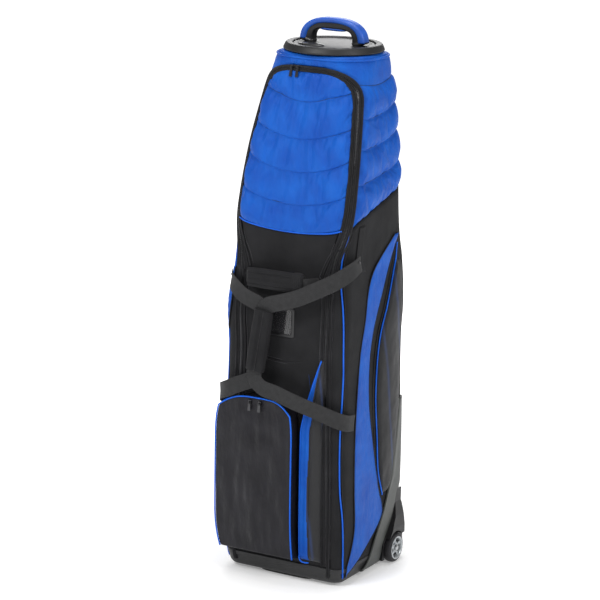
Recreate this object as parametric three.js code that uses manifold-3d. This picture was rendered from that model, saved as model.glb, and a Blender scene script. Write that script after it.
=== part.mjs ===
// Golf travel case: a tall soft case on two wheels, with a front flap on a zip, pockets,
// carry straps and a moulded crown with a handle that turns.
// Millimetres, +Z up, the front faces -Y, +X is on the right of a person who faces the front.
import * as THREE from "three";
import { mergeVertices } from "three/addons/utils/BufferGeometryUtils.js";
import Module from "manifold-3d";

const wasm = await Module();
wasm.setup();

// ---------- driving dimensions ----------
const HEIGHT = 1300; // floor to the top of the handle
const CROWN_TOP = 1243; // top of the moulded crown ring
const HOOD_TOP = 1226; // where the fabric ends under the crown
const CROWN_Y = 34; // the crown's centre, seen from above
const TRAY_TOP = 45; // moulded base tray
const FABRIC_FROM = TRAY_TOP + 0.5; // the walls are sewn on here
const FLAP_FROM = 50; // bottom edge of the front flap
const WALL = 5; // padded fabric wall
const GAP = 0.3; // between pieces that touch
const SEAM = 1; // between panels that a seam joins
const WHEEL = { radius: 36, width: 24, x: 166, y: 94 };
const WEBBING = { width: 38, thick: 2.4 };
const HINGE = { y: -166, z: 46 }; // the flap folds about this line

// ---------- the case's cross-section at a height ----------
// Each row: height, half width, front, back, corner radius.
const STATIONS = [
  [0, 150, -144, 140, 30],
  [40, 157, -154, 145, 30],
  [110, 160, -161, 145, 30],
  [300, 160, -166, 145, 30],
  [640, 160, -169, 145, 32],
  [740, 153, -160, 142, 36],
  [800, 152, -156, 132, 42],
  [870, 154, -154, 126, 50],
  [1000, 148, -130, 126, 58],
  [1100, 139, -106, 132, 64],
  [1190, 129, -86, 145, 70],
  [1230, 126, -82, 150, 74],
];

// A smooth curve through stops [t, value], flat beyond both ends.
function curve(stops) {
  const slope = stops.map((s, i) => {
    const a = stops[Math.max(i - 1, 0)];
    const b = stops[Math.min(i + 1, stops.length - 1)];
    return (b[1] - a[1]) / (b[0] - a[0]);
  });
  return (t) => {
    if (t <= stops[0][0]) return stops[0][1];
    const i = stops.findIndex((s) => t <= s[0]) - 1;
    if (i < 0) return stops.at(-1)[1];
    const h = stops[i + 1][0] - stops[i][0];
    const k = (t - stops[i][0]) / h;
    return (
      stops[i][1] * (1 + 2 * k) * (1 - k) ** 2 +
      h * slope[i] * k * (1 - k) ** 2 +
      stops[i + 1][1] * k * k * (3 - 2 * k) +
      h * slope[i + 1] * k * k * (k - 1)
    );
  };
}
const column = (i) => curve(STATIONS.map((row) => [row[0], row[i]]));
const halfAt = column(1);
const frontAt = column(2);
const backAt = column(3);
const roundAt = column(4);

// A point on the case's skin. The station s runs round the section, seen from above: 0 is the
// middle of the front, 1 to 2 the front right corner, 2 to 3 the right side, 3 to 4 the back
// right corner, 5 the middle of the back, and negative stations are the left side.
function skin(s, z, out = 0) {
  let side = s < 0 ? -1 : 1;
  let t = Math.abs(s);
  if (t > 5) {
    side = -side;
    t = 10 - t;
  }
  const [w, f, b, r] = [halfAt(z), frontAt(z), backAt(z), roundAt(z)];
  const corner = (cy, from) => {
    const a = from + ((t % 1) * Math.PI) / 2;
    return [w - r + (r + out) * Math.cos(a), cy + (r + out) * Math.sin(a)];
  };
  let p;
  if (t <= 1) p = [t * (w - r), f - out];
  else if (t < 2) p = corner(f + r, -Math.PI / 2);
  else if (t <= 3) p = [w + out, f + r + (t - 2) * (b - f - 2 * r)];
  else if (t < 4) p = corner(b - r, 0);
  else p = [(5 - t) * (w - r), b + out];
  return new THREE.Vector3(side * p[0], p[1], z);
}
// The station of a point on the right side that lies y behind the middle of the base.
function sideStation(y, z) {
  const [f, b, r] = [frontAt(z), backAt(z), roundAt(z)];
  return 2 + (y - f - r) / (b - f - 2 * r);
}

// ---------- solids ----------
function closed(points, faces) {
  let g = new THREE.BufferGeometry();
  g.setAttribute(
    "position",
    new THREE.Float32BufferAttribute(points.flatMap((p) => [p.x, p.y, p.z]), 3),
  );
  g.setIndex(faces.flat());
  g = mergeVertices(g, 1e-3);
  const [a, b, c] = [0, 1, 2].map(() => new THREE.Vector3());
  let volume = 0;
  const kept = [];
  for (let i = 0; i < g.index.count; i += 3) {
    const [i0, i1, i2] = [0, 1, 2].map((k) => g.index.getX(i + k));
    if (i0 === i1 || i1 === i2 || i2 === i0) continue;
    kept.push([i0, i1, i2]);
    a.fromBufferAttribute(g.attributes.position, i0);
    b.fromBufferAttribute(g.attributes.position, i1);
    c.fromBufferAttribute(g.attributes.position, i2);
    volume += a.dot(b.cross(c));
  }
  g.setIndex(kept.flatMap((t) => (volume < 0 ? [t[0], t[2], t[1]] : t)));
  return g;
}

// A closed sheet between two grids of points of the same size.
function sheet(outer, inner) {
  const rows = outer.length;
  const cols = outer[0].length;
  const points = [...outer.flat(), ...inner.flat()];
  const half = rows * cols;
  const faces = [];
  const quad = (a, b, c, d) => faces.push([a, b, c], [a, c, d]);
  for (let i = 0; i < rows - 1; i++)
    for (let j = 0; j < cols - 1; j++) {
      const a = i * cols + j;
      quad(a, a + 1, a + cols + 1, a + cols);
      quad(half + a, half + a + cols, half + a + cols + 1, half + a + 1);
    }
  const wall = (a, b) => quad(a, half + a, half + b, b);
  for (let j = 0; j < cols - 1; j++) {
    wall(j, j + 1);
    wall((rows - 1) * cols + j + 1, (rows - 1) * cols + j);
  }
  for (let i = 0; i < rows - 1; i++) {
    wall((i + 1) * cols, i * cols);
    wall(i * cols + cols - 1, (i + 1) * cols + cols - 1);
  }
  return closed(points, faces);
}

// A closed solid through rings of the same number of points, with flat ends.
function loft(rings) {
  const n = rings[0].length;
  const points = rings.flat();
  const faces = [];
  for (let i = 0; i < rings.length - 1; i++)
    for (let j = 0; j < n; j++) {
      const [a, b] = [i * n + j, i * n + ((j + 1) % n)];
      faces.push([a, b, b + n], [a, b + n, a + n]);
    }
  const end = (ring, first, flip) => {
    const middle = ring.reduce((m, p) => m.add(p), new THREE.Vector3()).divideScalar(n);
    points.push(middle);
    for (let j = 0; j < n; j++) {
      const [a, b] = [first + j, first + ((j + 1) % n)];
      faces.push(flip ? [points.length - 1, b, a] : [points.length - 1, a, b]);
    }
  };
  end(rings[0], 0, true);
  end(rings.at(-1), (rings.length - 1) * n, false);
  return closed(points, faces);
}

function bare(geometry) {
  const g = geometry.clone();
  g.deleteAttribute("normal");
  g.deleteAttribute("uv");
  return mergeVertices(g, 1e-3);
}
function toSolid(geometry) {
  const g = bare(geometry);
  return new wasm.Manifold(
    new wasm.Mesh({
      numProp: 3,
      vertProperties: g.attributes.position.array,
      triVerts: new Uint32Array(g.index.array),
    }),
  );
}
function toGeometry(solid) {
  const m = solid.getMesh();
  const g = new THREE.BufferGeometry();
  g.setAttribute("position", new THREE.BufferAttribute(m.vertProperties, 3));
  g.setIndex(new THREE.BufferAttribute(m.triVerts, 1));
  return g;
}
const cut = (geometry, ...tools) =>
  toGeometry(tools.reduce((s, t) => s.subtract(toSolid(t)), toSolid(geometry)));
const join = (geometry, ...more) =>
  toGeometry(more.reduce((s, t) => s.add(toSolid(t)), toSolid(geometry)));

const block = (x0, x1, y0, y1, z0, z1) =>
  new THREE.BoxGeometry(x1 - x0, y1 - y0, z1 - z0).translate(
    (x0 + x1) / 2,
    (y0 + y1) / 2,
    (z0 + z1) / 2,
  );
// Profile points are [radius, height]; the solid turns about Z.
const turned = (profile, steps = 48) =>
  new THREE.LatheGeometry(profile.map((p) => new THREE.Vector2(...p)), steps).rotateX(
    Math.PI / 2,
  );
const steps = (from, to, n) =>
  Array.from({ length: n + 1 }, (_, i) => from + ((to - from) * i) / n);
const mirrored = (geometry) => {
  const g = geometry.clone().scale(-1, 1, 1);
  const last = g.attributes.position.count - 1;
  const index = g.index ? Array.from(g.index.array) : steps(0, last, last);
  g.setIndex(index.map((_, i) => index[i - (i % 3) + [0, 2, 1][i % 3]]));
  return g;
};

// ---------- finishes ----------
const finish = (color, roughness, metalness = 0) =>
  new THREE.MeshStandardMaterial({ color, roughness, metalness });
const BLACK_NYLON = finish(0x2f2f31, 0.85);
const SMOOTH_NYLON = finish(0x2e2d32, 0.55);
const BLUE_NYLON = finish(0x1b64c3, 0.65);
const BLACK_WEBBING = finish(0x262627, 0.9);
const BLACK_ZIP = finish(0x302f34, 0.6);
const BLACK_PLASTIC = finish(0x28282c, 0.45);
const GREY_PLASTIC = finish(0x5f6160, 0.35);
const BLUE_RUBBER = finish(0x1b5cc0, 0.5);
const WHEEL_RUBBER = finish(0x141318, 0.6);
const SILVER_PLASTIC = finish(0xa4a9ac, 0.35, 0.2);
const STEEL = finish(0xb0b2b4, 0.3, 1);
const CLEAR_VINYL = finish(0x4f4f4f, 0.15);
const PAPER = finish(0xe8e6df, 0.9);

const bag = new THREE.Group();
function add(name, geometry, material, parent = bag) {
  const mesh = new THREE.Mesh(geometry, material);
  mesh.name = name;
  parent.add(mesh);
  return mesh;
}
const SIDES = [
  ["right", 1],
  ["left", -1],
];

// ---------- the front opening ----------
// The zip runs up both front corners and over the top in an arch.
const ARCH = { from: 1128, top: 1196, flat: 0.95 };
const zipSide = curve([
  [46, 0.95],
  [300, 0.93],
  [690, 0.92],
  [771, 1.13],
  [832, 1.45],
  [900, 1.58],
  [1128, 1.6],
]);
// Every wall and tape is drawn through the same heights, so that neighbours keep their gap.
const ROWS = [...steps(FLAP_FROM, 176, 3), ...steps(230, ARCH.from, 12)];
const rowsBetween = (low, high) => [
  low,
  ...ROWS.filter((z) => z > low + 1 && z < high - 1),
  high,
];
// Millimetres for one unit of station at a height.
const unit = (s, z) =>
  s < 1 ? halfAt(z) - roundAt(z) : (roundAt(z) * Math.PI) / 2;
// The zip line as [station, height], moved towards the middle by inset, from the bottom right up.
function zipLine(inset, from = FLAP_FROM) {
  const up = rowsBetween(from, ARCH.from).map((z) => {
    const s = zipSide(z);
    return [s - inset / unit(s, z), z];
  });
  const bend = steps(0, Math.PI / 2, 5)
    .slice(1)
    .map((a) => {
      const z = ARCH.from + (ARCH.top - inset - ARCH.from) * Math.sin(a);
      const s = ARCH.flat + (zipSide(z) - ARCH.flat) * Math.cos(a);
      return [s - (inset / unit(s, z)) * Math.cos(a), z];
    });
  return [...up, ...bend];
}
// Half the opening's width, as a station, at a height.
function opening(z, inset) {
  const line = zipLine(inset);
  const i = line.findIndex((p) => p[1] >= z);
  if (i <= 0) return i < 0 ? line.at(-1)[0] : line[0][0];
  const k = (z - line[i - 1][1]) / (line[i][1] - line[i - 1][1]);
  return line[i - 1][0] + k * (line[i][0] - line[i - 1][0]);
}
const TAPE = { near: 0.7, far: 11, thick: 3 };

// A piece of wall: rows of [heights], each from station a(z) to b(z).
function wall(heights, a, b, cols, out = 0, thick = WALL, shape = (z) => z) {
  const grid = (o) =>
    heights.map((h) => {
      const start = a(shape(h, a(h)));
      return steps(0, 1, cols).map((k) => {
        const s = start + (b(h) - start) * k;
        return skin(s, shape(h, s), o);
      });
    });
  return sheet(grid(out), grid(out - thick));
}

// ---------- wheels and their housings ----------
const HOUSING_IN = 118; // inner wall of the housing
const HOUSING_BACK = 149;
const housingSide = [
  [48, 12],
  [HOUSING_BACK, 12],
  [HOUSING_BACK, 176],
  [110, 176],
  [92, 116],
  [72, 84],
  [52, 58],
];
// A flat outline of [y, z] points, thickened from x0 to x1.
function plate(outline, x0, x1) {
  const shape = new THREE.Shape(outline.map((p) => new THREE.Vector2(...p)));
  const g = new THREE.ExtrudeGeometry(shape, { depth: x1 - x0, bevelEnabled: false });
  return g
    .applyMatrix4(
      new THREE.Matrix4().makeBasis(
        new THREE.Vector3(0, 1, 0),
        new THREE.Vector3(0, 0, 1),
        new THREE.Vector3(1, 0, 0),
      ),
    )
    .translate(x0, 0, 0);
}
// The space the housing takes out of the walls and the tray.
const grown = housingSide.map(([y, z]) => [
  y + (y > 115 ? 8 : z < 20 ? -2 : -0.5),
  z + (z < 20 ? -14 : 0.6),
]);
const wheelEnvelope = plate(grown, HOUSING_IN - 0.4, 190);
const envelopes = [wheelEnvelope, mirrored(wheelEnvelope)];

function wheelDisc(radius, x0, x1, segments = 40) {
  return new THREE.CylinderGeometry(radius, radius, x1 - x0, segments)
    .rotateZ(Math.PI / 2)
    .translate((x0 + x1) / 2, WHEEL.y, WHEEL.radius);
}
function housing() {
  const body = plate(housingSide, HOUSING_IN, 163);
  const fender = loft(
    [
      [64, 60, 175],
      [84, 73, 175],
      [112, 92, 171],
      [148, 104, 162],
    ].map(([z, y0, x1]) => [
      new THREE.Vector3(150, y0 + 4, z),
      new THREE.Vector3(x1, y0 + 4, z),
      new THREE.Vector3(x1, HOUSING_BACK - 12, z),
      new THREE.Vector3(150, HOUSING_BACK, z),
    ]),
  );
  const wheelSpace = wheelDisc(WHEEL.radius + 5, 150, 200);
  const axleBore = wheelDisc(4.2, 100, 160, 20);
  // Above the wheel the housing's back corner is cut off along the case's own round corner.
  const corner = block(0, 60, 0, 60, 90, 200).rotateZ(Math.PI / 4).translate(156, 128, 0);
  return cut(join(body, fender), wheelSpace, axleBore, corner);
}
function tyre() {
  const h = WHEEL.width / 2;
  const r = WHEEL.radius;
  const shoulder = 7;
  const arc = steps(-75, 75, 6).map((degrees) => {
    const a = THREE.MathUtils.degToRad(degrees);
    return [r - shoulder + shoulder * Math.cos(a) ** 0.8, h * Math.sin(a)];
  });
  return turned([[25, -h + 1], ...arc, [25, h - 1], [25, -h + 1]], 28);
}
const SPOKES = 5;
function hub() {
  const arc = (radius, from, to, n) =>
    steps(from, to, n).map((a) => new THREE.Vector2(radius * Math.cos(a), radius * Math.sin(a)));
  const outline = new THREE.Shape(arc(24.7, 0, Math.PI * 2, 28).slice(1));
  outline.holes.push(new THREE.Path(arc(11.3, 0, Math.PI * 2, 20).slice(1)));
  for (let i = 0; i < SPOKES; i++) {
    const a = (i * Math.PI * 2) / SPOKES;
    const window = [...arc(21, a + 0.25, a + 1, 3), ...arc(14.5, a + 0.93, a + 0.32, 2)];
    outline.holes.push(new THREE.Path(window));
  }
  const depth = 20;
  return new THREE.ExtrudeGeometry(outline, { depth, bevelEnabled: false }).translate(0, 0, -depth / 2);
}
const onAxle = (g, side) =>
  g.rotateY(Math.PI / 2).translate(side * WHEEL.x, WHEEL.y, WHEEL.radius);

for (const [side, sign] of SIDES) {
  const place = (g) => (sign > 0 ? g : mirrored(g));
  add("wheel_housing_" + side, place(housing()), BLACK_PLASTIC);
  add("tyre_" + side, place(onAxle(tyre(), 1)), WHEEL_RUBBER);
  add("wheel_hub_" + side, place(onAxle(hub(), 1)), SILVER_PLASTIC);
  const bearing = turned([[4.6, -9], [11, -9], [11, 9], [4.6, 9], [4.6, -9]], 24);
  add("wheel_bearing_" + side, place(onAxle(bearing, 1)), STEEL);
  const axle = turned([[0, -32], [4, -32], [4, 9.6], [7.5, 9.6], [7.5, 12], [5, 13.5], [0, 13.5]], 20);
  add("wheel_axle_" + side, place(onAxle(axle, 1)), STEEL);
}

// ---------- moulded base ----------
// A closed ring round the section; the whole stations in the middle of the front and back are
// left out, because they lie on straight lines.
const ringStations = steps(0, 9.75, 39).filter((s) => s % 5 !== 0);
const ring = (z, out) => ringStations.map((s) => skin(s > 5 ? s - 10 : s, z, out));
const BASE_Z = 9; // the tray hangs clear of the floor, on its foot and the wheels
const tray = cut(
  loft([ring(BASE_Z, -7), ring(BASE_Z + 3, -2), ring(BASE_Z + 8, 0), ring(TRAY_TOP, 0)]),
  loft([ring(BASE_Z + 5, -6), ring(TRAY_TOP + 1, -4)]),
  ...envelopes,
);
add("base_tray", tray, BLACK_PLASTIC);
// The front foot: a bar with rounded ends that the case stands on.
const foot = loft(
  [
    [0, -4],
    [4, 0],
    [BASE_Z - GAP, 0],
  ].map(([z, out]) =>
    steps(0, 1, 24)
      .slice(0, 24)
      .map((k) => {
        const a = k * Math.PI * 2;
        const x = Math.sign(Math.cos(a)) * Math.abs(Math.cos(a)) ** 0.4 * (72 + out);
        const y = Math.sign(Math.sin(a)) * Math.abs(Math.sin(a)) ** 0.6 * (16 + out);
        return new THREE.Vector3(x, -118 + y, z);
      }),
  ),
);
add("front_foot", foot, BLACK_PLASTIC);

// ---------- walls ----------
const LOWER_TOP = 838; // black fabric ends here at the front corner
const SLANT = 92; // and this much higher at the back
const seam = (s) => LOWER_TOP + SLANT * Math.min(1, Math.max(0, (Math.abs(s) - 1.5) / 2));
const lowerRows = rowsBetween(FABRIC_FROM, LOWER_TOP - SEAM);
const sideFront = (z) => Math.max(1.505, opening(z, -TAPE.far - 2 * SEAM));
// Rows above the top of the lower walls are stretched so that the last follows the slanted seam.
const slanted = (z, s) =>
  z <= 700 ? z : z + ((z - 700) / (LOWER_TOP - SEAM - 700)) * (seam(s) - LOWER_TOP);
const HOOD_BAND = ARCH.top + TAPE.far + 2 * SEAM;
const hoodLine = zipLine(-TAPE.far - SEAM);
const hoodFirst = seam(opening(LOWER_TOP + 4, -TAPE.far - SEAM)) + SEAM;
const hoodStarts = [
  [opening(hoodFirst, -TAPE.far - SEAM), hoodFirst],
  ...hoodLine.filter((p) => p[1] > hoodFirst + 2),
];
for (const [side, sign] of SIDES) {
  const place = (g) => (sign > 0 ? g : mirrored(g));
  const lower = wall(lowerRows, sideFront, () => 3.48, 6, 0, WALL, slanted);
  add("side_wall_" + side, place(cut(lower, wheelEnvelope)), BLACK_NYLON);
  const jamb = wall(
    rowsBetween(FABRIC_FROM, 740),
    (z) => opening(z, -TAPE.far - 2 * SEAM),
    () => 1.495,
    3,
  );
  add("front_jamb_" + side, place(jamb), BLACK_NYLON);
  // Quilted hood, from the zip round to the back corner: each row starts on the zip line.
  const grid = (o) =>
    hoodStarts.map(([s0, z0]) => {
      const up = (z0 - seam(s0) - SEAM) / (HOOD_BAND - 2 * SEAM - seam(s0));
      return steps(0, 1, 9).map((c) => {
        const s = s0 + (3.48 - s0) * c;
        const low = seam(s) + SEAM;
        return skin(s, low + (HOOD_BAND - SEAM - low) * up, o);
      });
    });
  add("hood_side_" + side, place(sheet(grid(6), grid(-2))), BLUE_NYLON);
}
const backWall = (rows, out, thick) => wall(rows, () => 3.52, () => 6.48, 6, out, thick);
const BACK_SEAM = LOWER_TOP + SLANT;
const back = cut(backWall(rowsBetween(FABRIC_FROM, BACK_SEAM - SEAM), 0, WALL), ...envelopes);
add("back_wall", back, BLACK_NYLON);
add("hood_back", backWall(rowsBetween(BACK_SEAM + SEAM, HOOD_BAND - SEAM), 6, 8), BLUE_NYLON);
add("back_board", block(-100, 100, 134, 137.5, 60, 700), GREY_PLASTIC);

// hood cover: a shallow dish upside down, with a hole for the pivot
const PIVOT = { bore: 9, shaft: 8.6 };
const pivotCut = new THREE.CylinderGeometry(PIVOT.bore, PIVOT.bore, 60, 24)
  .rotateX(Math.PI / 2)
  .translate(0, CROWN_Y, HOOD_TOP);
const cover = cut(
  loft([ring(HOOD_BAND, 2), ring(HOOD_TOP - 6, 2), ring(HOOD_TOP - 1.5, -2), ring(HOOD_TOP, -6)]),
  loft([ring(HOOD_BAND - 1, -3), ring(HOOD_TOP - 4, -3)]),
  pivotCut,
);
add("hood_cover", cover, BLUE_NYLON);

// ---------- zip tapes ----------
function tape(name, near, far, bottom, parent) {
  const a = zipLine(near, bottom);
  const b = zipLine(far, bottom);
  const across = (i, o) => [skin(a[i][0], a[i][1], o), skin(b[i][0], b[i][1], o)];
  const half = (o) => a.map((_, i) => across(i, o));
  const flip = (row) => row.map((p) => new THREE.Vector3(-p.x, p.y, p.z));
  const grid = (o) => [...half(o), ...half(o).reverse().map(flip)];
  add(name, sheet(grid(1), grid(1 - TAPE.thick)), BLACK_ZIP, parent);
}

// ---------- crown and turning handle ----------
const crown = turned(
  [
    [PIVOT.bore, HOOD_TOP + GAP],
    [114, HOOD_TOP + GAP],
    [117, HOOD_TOP + 2],
    [117, HOOD_TOP + 4],
    [113, CROWN_TOP - 3],
    [110, CROWN_TOP],
    [97, CROWN_TOP],
    [95, CROWN_TOP - 2],
    [95, CROWN_TOP - 9],
    [PIVOT.bore, CROWN_TOP - 9],
    [PIVOT.bore, HOOD_TOP + GAP],
  ],
  36,
).translate(0, CROWN_Y, 0);
add("crown_ring", crown, BLACK_PLASTIC);

const TABLE_TOP = CROWN_TOP - 3;
const handle = new THREE.Group();
handle.position.set(0, CROWN_Y, 0);
bag.add(handle);
const turntable = turned(
  [
    [0, HOOD_TOP - 18],
    [PIVOT.shaft - 0.2, HOOD_TOP - 18],
    [PIVOT.shaft - 0.2, CROWN_TOP - 8.7],
    [94.4, CROWN_TOP - 8.7],
    [94.4, TABLE_TOP - 1],
    [93, TABLE_TOP],
    [0, TABLE_TOP],
  ],
  36,
);
add("handle_turntable", turntable, BLACK_PLASTIC, handle);
const washer = turned(
  [
    [PIVOT.shaft + 0.1, HOOD_TOP - 12],
    [20, HOOD_TOP - 12],
    [20, HOOD_TOP - 5],
    [PIVOT.shaft + 0.1, HOOD_TOP - 5],
    [PIVOT.shaft + 0.1, HOOD_TOP - 12],
  ],
  20,
);
add("pivot_washer", washer, STEEL, handle);

// An arch in the XZ plane from one foot over to the other, as a superellipse.
const FOOT_Z = TABLE_TOP + GAP;
const arch = (half, rise, power, from, n) =>
  steps(0, n, n).map((i) => {
    const a0 = Math.asin(Math.min(1, (from / rise) ** (power / 2)));
    const a = a0 + ((Math.PI - 2 * a0) * i) / n;
    const c = Math.cos(a);
    return new THREE.Vector2(
      Math.sign(c) * half * Math.abs(c) ** (2 / power),
      FOOT_Z + rise * Math.sin(a) ** (2 / power),
    );
  });
function upright(outline, thick, bevel) {
  const g = new THREE.ExtrudeGeometry(new THREE.Shape(outline), {
    depth: thick - 2 * bevel,
    bevelEnabled: bevel > 0,
    bevelSize: bevel,
    bevelThickness: bevel,
    bevelOffset: -bevel,
    bevelSegments: 2,
  });
  return g.translate(0, 0, bevel - thick / 2).rotateX(Math.PI / 2);
}
const RISE = HEIGHT - FOOT_Z;
const GRIP_FROM = 12; // the soft grip starts this far above the feet
const coreOutline = [
  ...arch(76, RISE - 9, 2.5, GRIP_FROM, 14),
  new THREE.Vector2(-86, FOOT_Z + GRIP_FROM - 1),
  new THREE.Vector2(-88, FOOT_Z),
  ...arch(52, RISE - 27, 4, 0, 12).reverse(),
  new THREE.Vector2(88, FOOT_Z),
  new THREE.Vector2(86, FOOT_Z + GRIP_FROM - 1),
];
add("handle_core", upright(coreOutline, 24, 2), BLACK_PLASTIC, handle);
const gripOutline = [
  ...arch(86, RISE, 2.5, GRIP_FROM, 14),
  ...arch(76.4, RISE - 8.6, 2.5, GRIP_FROM, 14).reverse(),
];
add("handle_grip", upright(gripOutline, 30, 3), BLUE_RUBBER, handle);
const BADGE = { x: -28, y: -58, halfLength: 34, halfWidth: 16 }; // from the handle's axis
const boss = loft(
  [
    [0, 1],
    [2.5, 0.96],
    [4, 0.8],
    [4.8, 0.5],
  ].map(([z, k]) =>
    steps(0, 1, 28)
      .slice(0, 28)
      .map((t) => {
        const x = BADGE.x + BADGE.halfLength * k * Math.cos(t * 2 * Math.PI);
        const y = BADGE.y + BADGE.halfWidth * k * Math.sin(t * 2 * Math.PI);
        return new THREE.Vector3(x, y, TABLE_TOP + GAP + z);
      }),
  ),
);
add("crown_badge", boss, BLACK_PLASTIC, handle);

// ---------- the flap ----------
const flap = new THREE.Group();
bag.add(flap);
const PAD_FROM = 832; // the quilted pad starts here in the middle
const smile = (s) => 22 * Math.min(1, Math.abs(s) / 1.6) ** 2;
const flapRows = rowsBetween(FLAP_FROM, 800);
const flapEdge = (z) => opening(z, TAPE.far + 2 * SEAM);
add(
  "flap_lower",
  sheet(
    ...[0, -WALL].map((o) =>
      [...flapRows, PAD_FROM - GAP].map((z, i) =>
        steps(-1, 1, 8).map((k) => {
          const s = k * flapEdge(z);
          return skin(s, i > flapRows.length - 1 ? z + smile(s) : z, o);
        }),
      ),
    ),
  ),
  BLACK_NYLON,
  flap,
);
const padTop = ARCH.top - TAPE.far - SEAM;
const padStart = PAD_FROM + GAP + smile(flapEdge(PAD_FROM + 20));
const padLine = [
  [flapEdge(padStart), padStart],
  ...zipLine(TAPE.far + SEAM).filter((p) => p[1] > padStart + 3),
];
add(
  "flap_quilt",
  sheet(
    ...[5, -2].map((o) =>
      padLine.map(([edge, z]) => {
        const up = (z - padStart) / (padTop - padStart);
        return steps(-1, 1, 10).map((c) => {
          const s = c * edge;
          const low = PAD_FROM + GAP + smile(s);
          const rim = o > 0 && (Math.abs(c) > 0.99 || up < 0.01 || up > 0.99) ? 1 : o;
          return skin(s, low + (padTop - low) * up, rim);
        });
      }),
    ),
  ),
  BLUE_NYLON,
  flap,
);
tape("zip_tape_body", -TAPE.near, -TAPE.far, FABRIC_FROM, bag);
tape("zip_tape_flap", TAPE.near, TAPE.far, FLAP_FROM, flap);

// ---------- pockets ----------
// A pocket is a dish sewn to a face: a grid of columns and rows whose first and last two lie
// on the seam, so that the outer rows stand up as its side walls. place(k, q, depth) gives the
// point at share k across and q up, standing depth proud of the face.
function pocket(place, depth, crown, cols, rows, thick = 3) {
  const ks = [0, 0.03, ...steps(0.1, 0.9, cols), 0.97, 1];
  const qs = [0, 0.03, ...steps(0.1, 0.9, rows), 0.97, 1];
  const rise = (k) => (k <= 0 || k >= 1 ? 0 : k < 0.05 || k > 0.95 ? 0.86 : 1);
  const swell = (k) => 4 * k * (1 - k);
  const grid = (inner) =>
    qs.map((q) =>
      ks.map((k) => {
        const up = Math.min(rise(k), rise(q));
        const d = up * (depth + crown * swell(k) * swell(q));
        return place(k, q, up > 0 ? d - (inner ? thick : 0) : 0, inner ? thick : 0);
      }),
    );
  return sheet(grid(false), grid(true));
}
const FACE = 2; // how far a pocket's seam stands off the face it is sewn to
const pocketSeam = (z) => frontAt(z) - FACE;

// Front pocket: wide, with an arched top, and leaning out over the left edge of the flap.
const FRONT_POCKET = {
  left: -116,
  right: 48,
  from: 60,
  shoulder: 330,
  top: 446,
  depth: 36,
  lean: 38,
};
function frontPocketPoint(k, q, d, inset) {
  const P = FRONT_POCKET;
  const z = P.from + inset + (P.top - P.from - 2 * inset) * q;
  const up = Math.max(0, (z - P.shoulder) / (P.top - P.shoulder));
  const narrow = 26 * up ** 3;
  const foot = 12 * Math.max(0, 1 - q * 5) ** 2;
  const x0 = P.left + narrow + foot + inset;
  const x1 = P.right - narrow - inset + 5 * Math.max(0, 1 - q * 3) ** 2;
  const x = x0 + (x1 - x0) * k - P.lean * (1 - k) ** 2 * (d / P.depth);
  return new THREE.Vector3(x, pocketSeam(z) - d, z);
}
add("front_pocket", pocket(frontPocketPoint, FRONT_POCKET.depth, 8, 6, 8), SMOOTH_NYLON, flap);

// Slim pocket beside it, with a blue gusset that tapers away at the top.
const SLIM_POCKET = { left: 57, right: 104, from: 60, bend: 370, top: 556, depth: 16 };
function slimPocketPoint(k, q, d, inset) {
  const P = SLIM_POCKET;
  const z = P.from + inset + (P.top - P.from - 2 * inset) * q;
  const taper = Math.max(0, (z - P.bend) / (P.top - P.bend));
  const x0 = P.left + 36 * taper ** 1.3 + inset * 0.6;
  const x1 = P.right - inset * 0.6;
  const y = pocketSeam(z) - d * (1 - 0.7 * taper);
  return new THREE.Vector3(x0 + (x1 - x0) * k, y, z);
}
add("slim_pocket", pocket(slimPocketPoint, SLIM_POCKET.depth, 2, 2, 9, 2.4), BLUE_NYLON, flap);

// Side pockets, on the lower rear of each side.
const SIDE_POCKET = { from: 186, top: 744, depth: 9, crown: 12 };
const sidePocketFront = curve([
  [186, 36],
  [247, 12],
  [326, 0],
  [440, -18],
  [580, -13],
  [640, 14],
  [744, 76],
]);
function sidePocketPoint(k, q, d, inset) {
  const P = SIDE_POCKET;
  const z = P.from + inset + (P.top - P.from - 2 * inset) * q;
  const y0 = sidePocketFront(z) + inset;
  const y1 = Math.min(railFront(z) - 5, 110) - inset;
  return skin(sideStation(y0 + (y1 - y0) * k, z), z, FACE + d);
}

// ---------- side trim ----------
// Blue band: sweeps from the back at the waist down to the front corner of the base.
const bandFront = curve([
  [52, -124],
  [131, -99],
  [231, -106],
  [340, -108],
  [457, -96],
  [607, -77],
  [725, -42],
  [800, 50],
]);
const bandBack = curve([
  [52, -100],
  [101, -6],
  [140, 34],
  [198, 8],
  [317, -26],
  [444, -48],
  [607, -40],
  [708, 24],
  [800, 68],
]);
// Grey rail: wraps the back corner, then sweeps forward over the foot of the side.
const railFront = curve([
  [14, -46],
  [27, -25],
  [80, 4],
  [136, 40],
  [198, 66],
  [281, 84],
  [400, 106],
]);
const railBack = curve([
  [14, 43],
  [26, 45],
  [55, 48],
  [84, 68],
  [116, 88],
  [176, 107],
]);
for (const [side, sign] of SIDES) {
  const place = (g) => (sign > 0 ? g : mirrored(g));
  const band = wall(
    steps(52, 796, 18),
    (z) => sideStation(bandFront(z), z),
    (z) => sideStation(bandBack(z), z),
    2,
    2.6,
    1,
  );
  add("side_band_" + side, place(band), BLUE_NYLON);
  const railRows = [14, 20, 27, ...steps(40, 176, 6), ...steps(184, 216, 4), 262, 308, 354, 400];
  const railEdge = (z) => {
    const low = sideStation(railBack(z), z);
    return low + (3.5 - low) * Math.min(1, Math.max(0, (z - 176) / 40));
  };
  const rail = wall(railRows, (z) => sideStation(railFront(z), z), railEdge, 5, 5.4, 4.4);
  add("corner_rail_" + side, place(rail), GREY_PLASTIC);
  const bulge = pocket(sidePocketPoint, SIDE_POCKET.depth, SIDE_POCKET.crown, 4, 8, 2.5);
  add("side_pocket_" + side, place(bulge), SMOOTH_NYLON);
}

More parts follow.
